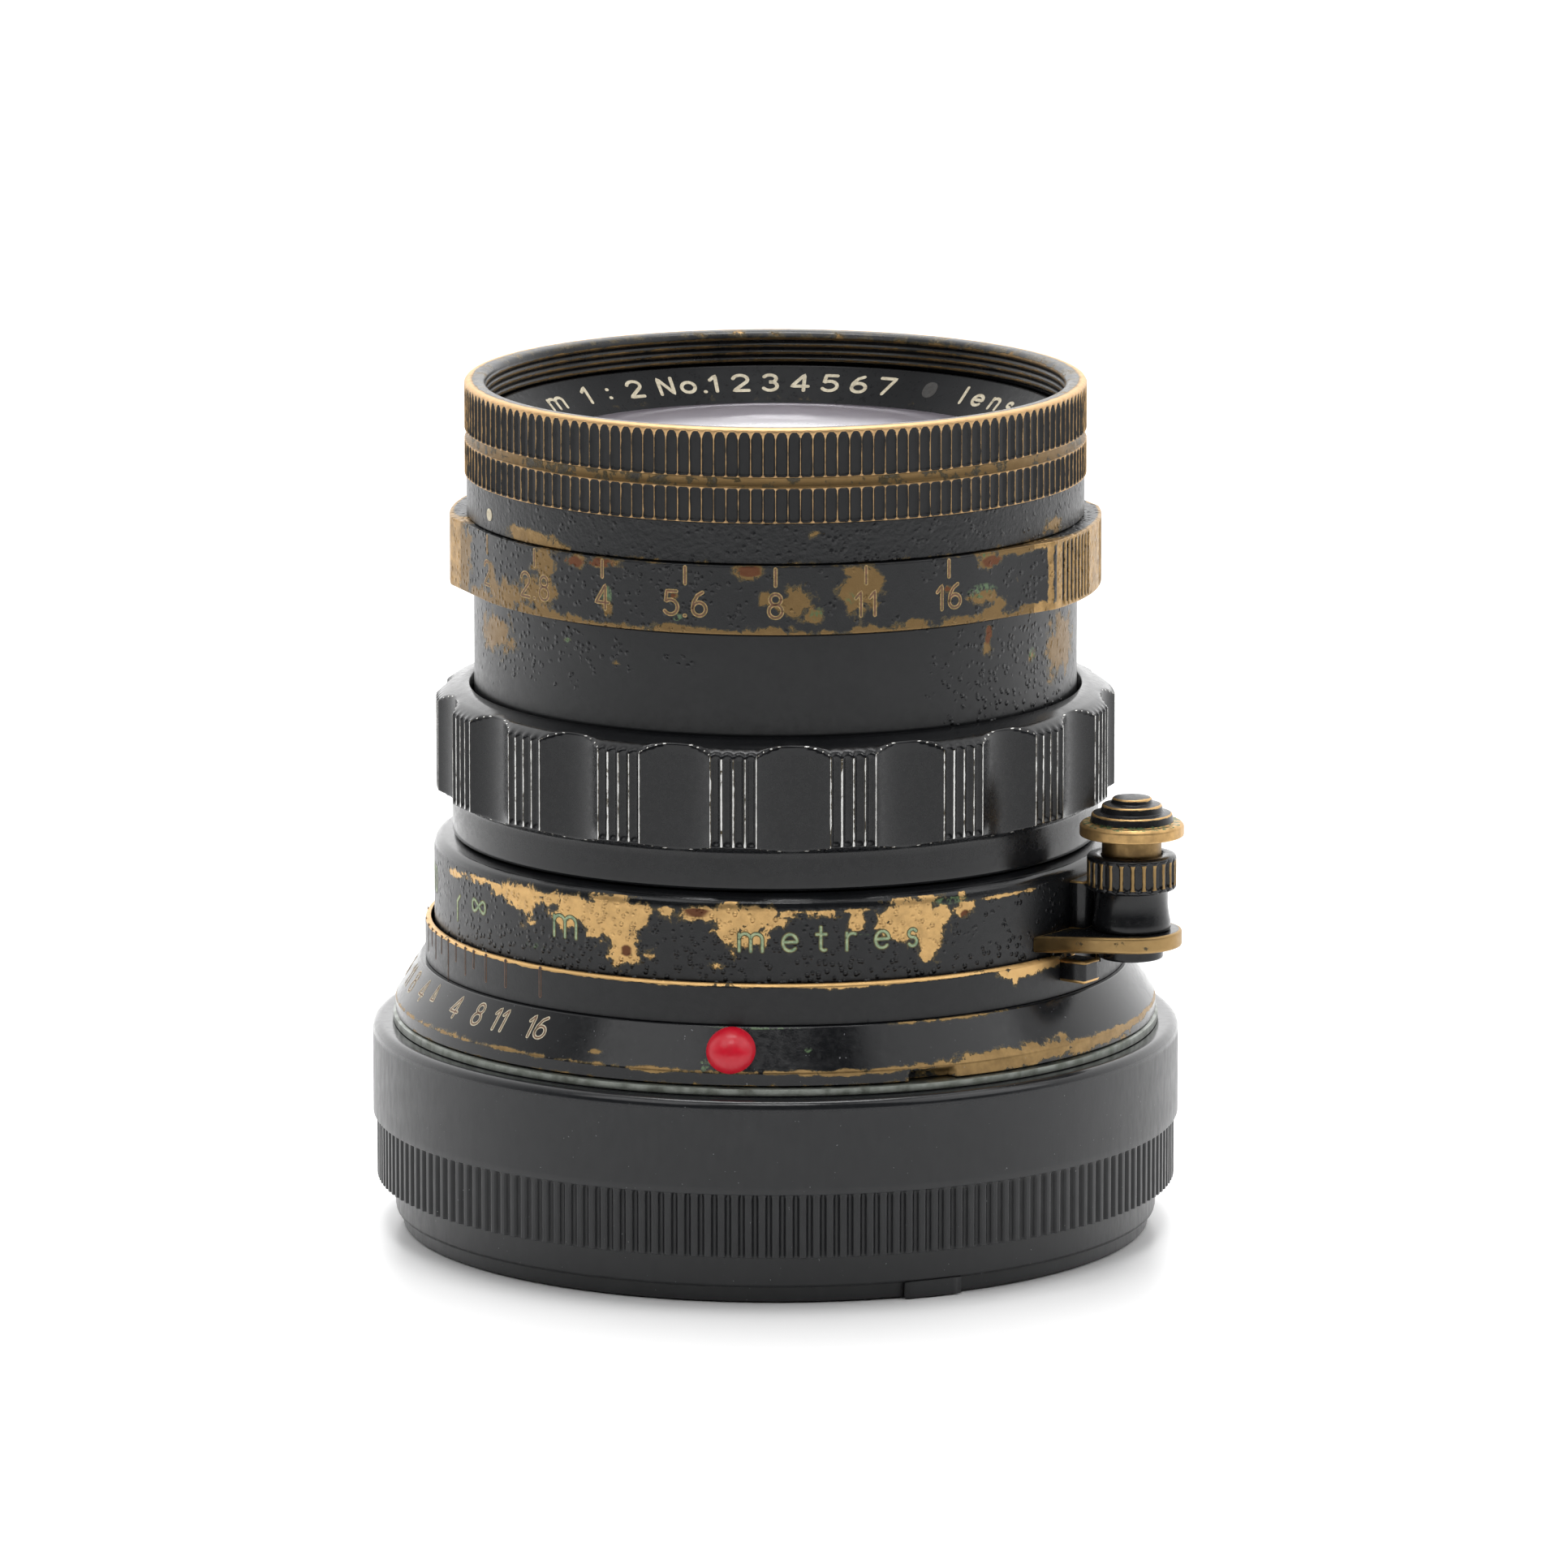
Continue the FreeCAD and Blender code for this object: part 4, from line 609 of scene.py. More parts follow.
def written(face, azimuth, text, tall, slant=0.0, gap=0.24, stretch=1.0):
    """The strokes of a word that stands on a face at an azimuth."""
    return [(face, azimuth, path) for path in text_strokes(text, tall, slant, gap, stretch)]


def engraving(name, strokes, width, lift=0.012):
    """One mesh of many strokes, each (face, azimuth, path)."""
    edit = bmesh.new()
    for face, azimuth, path in strokes:
        ribbon(edit, path, width, lift, lambda across, along, up: face.point(azimuth, across, along, up))
    bmesh.ops.recalc_face_normals(edit, faces=edit.faces)
    mesh = bpy.data.meshes.new(name)
    edit.to_mesh(mesh)
    edit.free()
    return link(name, mesh)


def two_tone(name, strokes, body, slot, edge_width, edge_material, core_width, core_material):
    """Engraved lines with one colour along their edges and another in the middle."""
    edges = engraving(name + "_edges", strokes, edge_width, 0.010)
    finish_piece(edges, body, edge_material, slot)
    core = engraving(name + "_core", strokes, core_width, 0.018)
    finish_piece(core, body, core_material, slot)


# ---- front of the head ----

def thread_valley(height, azimuth):
    """How near a point is to the root of the filter thread, 0 to 1."""
    pitch = 0.5
    return np.abs((height / pitch + azimuth / 360) % 1 - 0.5) * 2


def make_front_rim():
    """The knurled rim: two fluted bands, a plain groove, and the filter thread inside."""
    radius = RIM.radius
    upper = (54.75, RIM.top - 0.22)
    lower = (RIM.bottom + 0.04, 54.0)
    bore = 19.5
    crown = RIM.top
    lower_heights = [*np.linspace(lower[0], lower[0] + 0.4, 6), *np.linspace(lower[1] - 0.35, lower[1], 6)]
    upper_heights = [*np.linspace(upper[0], upper[0] + 0.4, 6), *np.linspace(upper[1] - 0.75, upper[1], 10)]
    groove = radius - 0.25
    outline = [(20.25, RIM.bottom), (radius - 0.03, RIM.bottom)]
    outline += [(radius, height) for height in lower_heights]
    outline += [(groove + 0.04, 54.05), (groove, 54.12), (groove, 54.4), (groove, 54.64)]
    outline += [(groove + 0.04, 54.7)]
    outline += [(radius, height) for height in upper_heights]
    outline += [(radius - 0.07, crown - 0.1), (radius - 0.17, crown - 0.03), (radius - 0.3, crown)]
    outline += [(radius - 0.6, crown), (radius - 0.9, crown - 0.01), (bore + 0.3, crown - 0.07)]
    outline += [(bore + 0.12, crown - 0.22)]
    outline += [(bore, height) for height in np.linspace(crown - 0.4, 55.75, 20)]
    outline += [(bore + 0.25, 55.7), (bore + 0.25, 53.1), (20.25, 53.1)]

    def cut_depth(azimuth, height):
        top_band = flutes(azimuth, height, RIM_KNURLS, 0.05, upper[0], upper[1], 0.18, 0.62)
        low_band = flutes(azimuth, height, RIM_KNURLS, 0.05, lower[0], lower[1], 0.2, 0.18)
        return np.where(height > 54.4, top_band, low_band)

    def shape(rim, height, azimuth):
        outside = rim > radius - 0.002
        thread = (rim < bore + 0.01) & (height < crown - 0.35) & (height > 55.72)
        rim = rim - np.where(outside, 0.2 * cut_depth(azimuth, height), 0)
        return rim + np.where(thread, 0.17 * thread_valley(height, azimuth), 0), height

    def marks(rim, height, azimuth):
        outside = rim > radius - 0.002
        crest = 1 - cut_depth(azimuth, height)
        worn = np.where(outside, crest * 0.9 - 0.24, 0.0)
        chamfer = (height > crown - 0.25) & (rim > radius - 0.35)
        worn = np.where(chamfer, 0.85, worn)
        crown_face = (height > crown - 0.3) & (rim <= radius - 0.35)
        worn = np.where(crown_face, 0.36, worn)
        in_groove = (rim < radius - 0.1) & (rim > radius - 0.4) & (height < 54.9) & (height > 53.9)
        worn = np.where(in_groove, 0.53, worn)
        inside = (rim < bore + 0.1) & (height < crown - 0.3)
        worn = np.where(inside, 0.75 - thread_valley(height, azimuth), worn)
        aged = np.where(outside, 0.35, np.where(chamfer, 0.15, 0.8))
        aged = np.where(in_groove, 1.2, np.where(inside, 0.9, aged))
        return {"worn": worn, "aged": aged, "polish": np.where(inside | crown_face, 0.6, 0.0)}

    piece = lathe("front_rim_knurled", outline, even(RIM_KNURLS * 12), shape, marks)
    finish_piece(piece, "head", RIM_PAINT, "black_paint", "front_rim")


def make_name_ring():
    """The black cone that faces the front element, with its cream figures."""
    bore = 17.2
    bottom = 53.7
    outline = rounded([
        (bore - 0.6, NAME_RING.bottom), (bore - 0.25, NAME_RING.bottom), (bore - 0.25, 52.25),
        (17.9, 52.25), (19.44, 53.3), (19.44, NAME_RING.top), (bore + 2.0, NAME_RING.top), (bore, bottom),
        (bore - 0.6, bottom - 0.6),
    ], 0.08)

    def marks(radius, height, azimuth):
        lip = np.abs(radius - bore) < 0.1
        return {"worn": np.where(lip, 0.25, -0.2), "aged": 0.8}

    piece = lathe("name_ring_cone", outline, even(360), None, marks)
    finish_piece(piece, "head", NAME_PAINT, "black_anodised", "name_ring")
    slope = math.sqrt(0.5)
    tall = 1.3
    face = RoundFace(bore + 0.5, bottom + 0.5, slope, slope, -1)
    words = (("m", 235.8, 0.6), ("1:2", 218.5, 0.85), ("No.", 200.8, 0.3), ("1234567", 173.9, 0.55),
             ("lens", 126.0, 0.5))
    strokes = []
    for word, azimuth, gap in words:
        strokes += written(face, azimuth, word, tall, 0.0, gap, 1.35)
    finish_piece(engraving("name_ring_figures", strokes, 0.25), "head", CREAM_FILL, "black_anodised")
    # The key slot is not cut: a dark strip lies on the cone as painted shade where the slot would be.
    slot_shade = [(RoundFace(bore + 0.9, bottom + 0.9, slope, slope, -1), 144.4, [(0.0, 0.0), (0.0, 0.25)])]
    finish_piece(engraving("name_ring_key_slot_painted_shade", slot_shade, 1.1), "head", DARK_FILL_AND_SLOT_SHADE, "black_anodised")


def make_front_element():
    """The front glass, a shallow dome."""
    curve = 100.0
    back_curve = 300.0
    clear_rim = 16.5
    shoulder = 51.6
    reach = np.linspace(0, clear_rim, 26)
    fall = curve - np.sqrt(curve ** 2 - reach ** 2)
    outline = [(radius, GLASS.top - drop) for radius, drop in zip(reach, fall)]
    outline += [(clear_rim, shoulder + 0.1), (clear_rim + 0.1, shoulder), (GLASS.radius - 0.1, shoulder)]
    outline += [(GLASS.radius, shoulder - 0.1), (GLASS.radius, GLASS.bottom + 0.5)]
    outline += [(GLASS.radius - 0.1, GLASS.bottom + 0.46)]
    back = np.linspace(clear_rim, 0, 10)
    outline += [(radius, GLASS.bottom + radius ** 2 / (2 * back_curve)) for radius in back]
    piece = lathe("front_glass", outline, even(180), closed=False)
    finish_piece(piece, "head", FRONT_GLASS, "glass", "front_element")


def make_front_barrel():
    """The band with the aperture index."""
    radius = BARREL.radius
    low = BARREL.bottom
    high = 51.65
    bore = 19.85
    spigot = 20.2
    outline = refined(rounded([
        (bore, low), (radius, low, 0.1), (radius, high, 0.05), (spigot, high, 0.02),
        (spigot, BARREL.top, 0.02), (bore, BARREL.top, 0.02),
    ]), 0.7)
    spots = ((-51.6, 49.3, 7.2, 0.5, 1.05), (-43.4, 49.2, 3.2, 0.3, 0.95), (6.5, 50.7, 2.0, 0.24, 0.9),
             (28.2, 50.5, 1.8, 0.24, 0.9), (23.9, 49.2, 2.2, 0.24, 0.95), (63.5, 49.4, 3.6, 0.7, 0.95))

    def marks(rim, height, azimuth):
        lower_edge = np.where((height < low + 0.12) & (rim > radius - 0.3), 0.3, -0.4)
        worn = np.maximum(patches(azimuth, height, spots), lower_edge)
        return {"worn": worn, "aged": 0.7, "blister": 0.62}

    piece = lathe("index_barrel", outline, even(540), None, marks)
    finish_piece(piece, "head", INDEX_PAINT, "black_paint", "front_barrel")
    dot = [(RoundFace(radius, low + 1.15), -66.6, [(-0.02, 0.0), (0.02, 0.0)])]
    finish_piece(engraving("aperture_index", dot, 0.85, 0.03), "head", CREAM_FILL, "black_paint")


def make_head_barrel():
    """The plain barrel below the aperture ring, and the neck inside it."""
    radius = HEAD.radius
    low = HEAD.bottom
    shoulder = 44.1
    bore = 18.2
    neck = 19.8
    neck_bore = 19.0
    seat = 16.8
    seat_bottom = 35.5
    seat_top = 36.8
    outline = refined(rounded([
        (bore, low), (radius, low, 0.1), (radius, shoulder, 0.12), (neck, shoulder, 0.03), (neck, HEAD.top),
        (neck_bore, HEAD.top), (neck_bore, seat_top), (seat, seat_top), (seat, seat_bottom),
        (bore, seat_bottom),
    ], 0.05), 0.6)
    spots = ((-67.0, 42.0, 7.0, 1.3, 0.95), (-42.7, 42.7, 1.4, 0.3, 0.85), (-31.1, 41.8, 1.4, 0.27, 0.85),
             (43.9, 43.1, 1.0, 0.7, 0.95), (43.9, 42.1, 1.6, 0.4, 0.95), (57.2, 40.9, 1.8, 0.5, 0.8),
             (70.5, 41.1, 6.5, 1.7, 1.0), (67.6, 42.6, 4.5, 0.5, 0.8))
    blister_spots = ((-59.7, 41.6, 20.0, 1.9, 1.1), (-17.8, 42.3, 3.1, 0.7, 0.9),
                     (55.6, 40.7, 19.0, 3.0, 1.1), (44, 38.5, 2.5, 1.2, 1.0))

    def marks(rim, height, azimuth):
        return {
            "worn": patches(azimuth, height, spots),
            "aged": 1.1,
            "stain": patches(azimuth, height, ((43.9, 43.3, 1.4, 0.9, 1.0),)),
            "blister": 1.2 * patches(azimuth, height, blister_spots),
            "green": patches(azimuth, height, ((57.2, 41.0, 1.4, 0.7, 0.9), (-42.7, 42.7, 1.2, 0.3, 0.9))),
        }

    piece = lathe("head_barrel_painted", outline, even(540), None, marks)
    finish_piece(piece, "head", HEAD_PAINT, "black_paint", "head_barrel")


# ---- aperture ring ----

def from_grip(azimuth):
    """How far an azimuth is from the middle of the nearer grip."""
    from_right = np.abs(turned_by(azimuth - EAR_AZIMUTH))
    return np.minimum(from_right, 180 - from_right)


def ear_radius(azimuth):
    """The outer radius of the aperture ring, which swells into two finger grips."""
    plain = APERTURE_PLAIN_RADIUS
    offset = from_grip(azimuth)
    rise = np.clip((GRIP_FOOT_ANGLE - offset) / (GRIP_FOOT_ANGLE - GRIP_HALF_ANGLE), 0.0, 1.0)
    start = np.radians(GRIP_FOOT_ANGLE)
    crest = np.radians(GRIP_HALF_ANGLE)
    foot = np.array([plain * math.sin(start), plain * math.cos(start)])
    top = np.array([APERTURE.radius * math.sin(crest), APERTURE.radius * math.cos(crest)])
    turn = np.radians(np.clip(offset, GRIP_HALF_ANGLE, GRIP_FOOT_ANGLE))
    lean = top - foot
    # The flank is straight: where the ray at this azimuth meets the line from foot to top.
    ramp = (foot[0] * lean[1] - foot[1] * lean[0]) / (np.sin(turn) * lean[1] - np.cos(turn) * lean[0])
    return np.where(rise >= 1.0, APERTURE.radius, np.where(rise <= 0.0, plain, ramp))


def ear_ribs(azimuth):
    """How far the ribs of the grips are cut, 0 to 1. The screw's place has none."""
    pitch = 1.6
    screw_gap = 4.0
    count = int(2 * (GRIP_HALF_ANGLE - 2) / pitch)
    cut = np.zeros_like(azimuth)
    for side in (0, 180):
        for number in range(count):
            offset = (number - (count - 1) / 2) * pitch
            if side == 180 or abs(offset) > screw_gap:
                away = np.abs(turned_by(azimuth - EAR_AZIMUTH - side - offset))
                cut = np.maximum(cut, 1 - smoothstep(0.3, 0.55, away))
    return cut


def make_aperture_ring():
    """The ring with the f-numbers and its two ribbed grips."""
    low = APERTURE.bottom
    high = APERTURE.top
    plain = APERTURE_PLAIN_RADIUS
    bore = 19.88
    outline = refined(rounded([
        (bore, low), (plain, low, 0.12), (plain, high, 0.12), (bore, high),
    ], 0.05, 4), 0.42)
    spots = (
        (-63.5, 46.0, 1.8, 0.95, 0.85), (-57.9, 45.1, 5.5, 0.9, 1.0), (-68.7, 44.4, 6.0, 0.6, 1.0),
        (-46.6, 48.0, 2.6, 1.1, 1.0), (-47.9, 45.9, 4.6, 1.0, 0.95), (-31.8, 45.6, 1.3, 0.65, 0.8),
        (3.6, 46.5, 2.6, 0.9, 1.05), (6.6, 45.5, 1.8, 0.5, 0.95), (-1.8, 46.7, 1.2, 0.5, 0.85),
        (15.6, 47.2, 3.0, 1.15, 1.1), (41.7, 45.9, 3.6, 0.5, 0.95), (44.4, 45.1, 2.4, 0.6, 0.95),
        (-80, 46.5, 5, 2.6, 1.1),
        (32.3, 46.7, 1.5, 0.4, 0.8), (-18.5, 44.45, 4.5, 0.3, 1.0), (0.0, 44.45, 4.2, 0.3, 1.0),
        (16.4, 44.4, 5.9, 0.22, 1.0), (27.1, 44.5, 4.8, 0.3, 1.0), (39.9, 44.5, 8.5, 0.3, 1.05),
        (54.8, 44.4, 7.8, 0.35, 1.05), (50.5, 48.75, 8.0, 0.25, 1.1), (-31.0, 44.3, 7.5, 0.2, 0.85),
        (-47.7, 44.4, 9.9, 0.35, 1.0),
    )
    stains = ((-39.3, 48.3, 2.3, 0.45, 1.0), (-33.5, 48.5, 4.3, 0.3, 1.0), (-4.7, 48.5, 2.3, 0.35, 1.05),
              (42.7, 48.2, 3.0, 0.45, 0.95), (32.3, 46.7, 1.4, 0.3, 0.9), (-18.8, 46.7, 1.0, 0.3, 0.9))
    greens = ((-31.8, 46.4, 1.7, 0.7, 0.9), (41.2, 48.6, 1.6, 0.25, 0.9), (40.5, 46.3, 4.2, 0.6, 0.9),
              (-17.8, 45.3, 1.1, 0.3, 1.0), (7.5, 45.6, 2.4, 0.7, 0.8), (13.5, 46.6, 2.2, 0.9, 0.7))

    def on_outside(rim):
        return rim > plain - 0.3

    def shape(rim, height, azimuth):
        swell = ear_radius(azimuth) - plain
        ribbed = (height > low + 0.35) & (height < high - 0.35) & (rim > plain - 0.05)
        moved = rim + swell * np.clip((rim - 19.95) / (plain - 0.3 - 19.95), 0, 1)
        moved = moved - np.where(ribbed, 0.2 * ear_ribs(azimuth), 0)
        return np.minimum(moved, APERTURE.radius - 0.001), height

    def marks(rim, height, azimuth):
        worn = patches(azimuth, height, spots)
        worn = np.maximum(worn, np.where((height < low + 0.16) & on_outside(rim), 0.62, -0.4))
        worn = np.maximum(worn, np.where((height > high - 0.12) & on_outside(rim), 0.25, -0.4))
        offset = from_grip(azimuth)
        corner = (1 - smoothstep(0.0, 1.4, np.abs(offset - 20.0))) * 0.95
        rims = np.where((height < low + 0.3) | (height > high - 0.3), 0.62, 0.0) * (offset < 24)
        crest = np.where(offset < 18.6, 0.8 * (1 - ear_ribs(azimuth)) - 0.05, 0)
        grip = np.maximum(np.maximum(corner, rims), crest)
        worn = np.maximum(worn, np.where(rim > plain - 0.35, grip, -0.4))
        stain = patches(azimuth, height, stains)
        return {"worn": np.maximum(worn, stain), "aged": np.where(offset < 24, 0.62, 1.0), "stain": stain,
                "steady": np.where(offset < 19.2, 0.85, 0.0),
                "blister": 0.75 + 0.4 * np.cos(np.radians(2.4 * (azimuth + 60))),
                "green": patches(azimuth, height, greens)}

    reach = GRIP_FOOT_ANGLE + 0.8
    azimuths = denser(0.6, 0.16, ((EAR_AZIMUTH - reach, EAR_AZIMUTH + reach), (-180, -180 + 14),
                                  (EAR_AZIMUTH - 180 - reach, EAR_AZIMUTH - 180 + reach)))
    piece = lathe("aperture_ring_engraved", outline, azimuths, shape, marks)
    finish_piece(piece, "aperture", BLISTERED, "black_paint", "aperture_ring")
    make_aperture_figures(low, high, plain)


def make_aperture_figures(low, high, radius):
    """The f-numbers, each with a tick above it."""
    face = RoundFace(radius, low + 1.2)
    tick_face = RoundFace(radius, high - 1.3)
    strokes = []
    for number, stop in enumerate(("2", "2.8", "4", "5.6", "8", "11", "16")):
        azimuth = FIRST_STOP_AZIMUTH + STOP_PITCH * number
        strokes += written(face, azimuth, stop, 1.6)
        strokes.append((tick_face, azimuth, [(0.0, 0.0), (0.0, 1.1)]))
    two_tone("aperture_figures", strokes, "aperture", "black_paint", 0.27, TAN_FILL, 0.12, COPPER_FILL)


# ---- focus group ----

def scallop_radius(azimuth):
    """The radius that the scallop cutter leaves."""
    untouched = 99.0
    cutter = 4.3
    axis = FOCUS.radius - 0.9 + cutter
    pitch = 360 / SCALLOPS
    offset = np.radians((azimuth - SCALLOP_AZIMUTH + pitch / 2) % pitch - pitch / 2)
    inside = np.maximum(cutter ** 2 - (axis * np.sin(offset)) ** 2, 0)
    return np.where(inside > 0, axis * np.cos(offset) - np.sqrt(inside), untouched)


def make_focus_ring():
    """The scalloped ring, with four fine grooves on each crest, and its skirt."""
    radius = FOCUS.radius
    low = FOCUS.bottom
    rib_low = 30.2
    high = FOCUS.top
    heights = [*np.linspace(rib_low, rib_low + 0.5, 6), 31.5, 33.5, *np.linspace(high - 1.6, high - 1.0, 5)]
    skirt = SKIRT_RADIUS
    outline = [(20.95, low), (21.4, low), (21.65, low), (21.78, low + 0.04), (21.87, low + 0.12)]
    outline += [(skirt, low + 0.24), (skirt, low + 0.5), (skirt, 28.4), (skirt, 29.2), (skirt, 29.5)]
    outline += [(21.93, 29.62), (22.02, 29.75)]
    outline += [(22.2, 29.86), (22.5, 29.97), (22.8, 30.09), (22.95, 30.15)]
    outline += [(radius, height) for height in heights]
    outline += [(radius - 0.12, high - 0.87), (radius - 0.35, high - 0.68), (radius - 0.62, high - 0.50)]
    outline += [(radius - 0.8, high - 0.4), (radius - 1.0, high - 0.33), (radius - 1.6, high - 0.17)]
    outline += [(20.85, high), (20.7, high - 0.1), (20.7, 34.0), (20.7, rib_low)]
    outline += [(20.9, 29.7), (20.9, 28.0)]
    groove_pitch = 1.97
    crest_grooves = [(number - 1.5) * groove_pitch for number in range(4)]

    def from_crest(azimuth):
        """How far an azimuth is from the middle of the crest between two scallops."""
        pitch = 360 / SCALLOPS
        return (azimuth - SCALLOP_AZIMUTH) % pitch - pitch / 2

    def ridge_line(azimuth):
        """The middle of each ridge between the grooves, where the paint has gone first."""
        away = np.abs((from_crest(azimuth) / groove_pitch + 0.5) % 1 - 0.5) * groove_pitch
        return 1 - smoothstep(0.08, 0.36, away)

    def groove_depth(azimuth):
        depth = np.zeros_like(azimuth)
        for groove in crest_grooves:
            depth = np.maximum(depth, 1 - smoothstep(0.3, 0.78, np.abs(from_crest(azimuth) - groove)))
        return depth

    def between(height, start, full, fade, end):
        """1 between two heights, easing to 0 outside them."""
        rising = smoothstep(rib_low + start, rib_low + full, height)
        return rising * (1 - smoothstep(high - fade, high - end, height))

    def shape(rim, height, azimuth):
        ribbed = (rim > SKIRT_RADIUS + 0.05) & (height > 29.5)
        scooped = scallop_radius(azimuth)
        grooved = rim - 0.2 * groove_depth(azimuth) * between(height, -0.05, 0.35, 1.15, 0.75)
        cut = np.minimum(grooved, scooped)
        return np.where(ribbed, np.maximum(cut, np.minimum(rim, SKIRT_RADIUS)), rim), height

    def marks(rim, height, azimuth):
        scooped = scallop_radius(azimuth)
        ribbed = (rim > SKIRT_RADIUS + 0.05) & (height > 29.5)
        edge = 1 - smoothstep(0.0, 0.11, np.abs(scooped - rim - 0.02))
        ridge = np.where(scooped > rim, ridge_line(azimuth), 0)
        upright = between(height, -0.1, 0.1, 1.1, 0.95)
        flare = 1 - smoothstep(0.0, 0.35, np.abs(height - rib_low - 0.1))
        worn = np.maximum(edge * 0.84 - 0.1, ridge * (0.68 + 0.3 * flare) * upright - 0.1)
        polish = 0.45 * smoothstep(high - 1.3, high - 0.7, height) + 0.5 * smoothstep(28.6, 27.4, height)
        return {"worn": np.where(ribbed, worn, -0.3), "aged": 0.2, "polish": polish}

    piece = lathe("focus_ring_scalloped", outline, even(SCALLOPS * 88), shape, marks)
    finish_piece(piece, "focus", FOCUS_PAINT, "focus_ring_paint", "focus_ring")


def make_distance_ring():
    """The ring with the distance scale, worn along its top edge."""
    radius = DISTANCE.radius
    low = DISTANCE.bottom
    high = DISTANCE.top
    wall = radius - 0.57
    bore = 19.45
    web = 25.4
    outline = refined(rounded([
        (bore, web), (wall, web), (wall, low), (radius, low, 0.05), (radius, 26.15, 0.25),
        (radius - 0.14, 26.55, 0.15), (radius - 0.5, 26.82, 0.15), (21.5, high, 0.1), (bore, high),
    ], 0.05, 4), 0.42)
    spots = (
        (-68.8, 25.6, 3.9, 0.3, 0.9), (-57.8, 25.8, 8.8, 0.24, 0.95), (-48.0, 25.6, 6.1, 0.6, 1.0),
        (-45.6, 24.8, 1.7, 1.1, 0.95), (-41.3, 25.7, 3.9, 0.36, 1.0), (-35.3, 25.6, 4.9, 0.6, 1.0),
        (-36.9, 24.5, 3.2, 0.8, 0.9), (-28.5, 25.0, 5.0, 1.1, 1.15), (-25.9, 23.6, 2.2, 1.4, 1.05),
        (-24.6, 22.6, 1.5, 0.7, 0.9), (-21.7, 25.6, 1.4, 0.5, 0.9), (-13.1, 25.7, 4.6, 0.5, 0.95),
        (-7.6, 25.0, 1.9, 1.35, 1.1), (-3.3, 25.6, 3.9, 0.6, 1.05), (-4.1, 24.6, 2.1, 0.9, 1.0),
        (7.7, 25.8, 8.7, 0.24, 1.0), (13.5, 25.1, 1.9, 0.6, 0.9), (23.5, 25.2, 4.3, 0.95, 1.2),
        (25.9, 24.2, 2.2, 1.5, 1.1), (20.7, 24.6, 1.8, 0.9, 0.95), (32.9, 25.5, 2.0, 0.7, 1.0),
        (41.4, 25.9, 6.9, 0.15, 1.0), (-21.3, 22.8, 2.6, 0.45, 0.7), (-10.2, 22.2, 2.0, 0.36, 0.75),
        (-17.5, 25.8, 3.0, 0.3, 0.9),
    )
    stains = ((-13.1, 25.8, 3.4, 0.4, 0.9), (7.7, 25.7, 4.3, 0.24, 0.9), (-25.3, 22.9, 1.6, 0.6, 0.85),
              (32.9, 25.0, 1.3, 0.5, 0.9))
    greens = ((14, 24.2, 11, 0.5, 0.62), (-44, 22.4, 9, 0.8, 0.62), (30, 26.1, 4, 0.3, 0.9))

    def marks(rim, height, azimuth):
        outside = rim > radius - 0.25
        blistered = 1.1 - smoothstep(24, 60, np.abs(azimuth + 22)) * 0.5
        return {
            "worn": np.where(outside, patches(azimuth, height, spots), -0.3),
            "aged": 0.3,
            "stain": patches(azimuth, height, stains),
            "blister": np.where(outside & (height < 26.2), blistered, -1.0),
            "green": patches(azimuth, height, greens),
            "polish": smoothstep(26.1, 26.4, height),
        }

    piece = lathe("distance_ring_worn", outline, even(900), None, marks)
    finish_piece(piece, "focus", BLISTERED, "black_paint", "distance_ring")
    make_distance_figures(radius)


def make_distance_figures(radius):
    """The infinity sign, the unit, the word and the distances, in metres, of the distance scale."""
    face = RoundFace(radius, 23.3)
    strokes = []
    words = [("∞", -59.2, 1.8, 0.24), ("m", -37.2, 2.1, 0.24), ("metres", 9.0, 1.75, 0.72)]
    turns = {"10": 15.2, "5": 30.6, "3": 51.7, "2": 79.0, "1.5": 107.1, "1.2": 136.4, "1": 166.7}
    words += [(text, INDEX_AZIMUTH - turn, 1.75, 0.24) for text, turn in turns.items()]
    for text, azimuth, tall, gap in words:
        strokes += written(face, azimuth, text, tall, 0.0, gap)
    strokes.append((RoundFace(radius, 22.5), -67.4, [(0.0, 0.0), (0.0, 1.3), (0.45, 1.7)]))
    two_tone("distance_figures", strokes, "focus", "black_paint", 0.3, OLIVE_FILL, 0.16, GREEN_FILL)


# ---- fixed mount ----

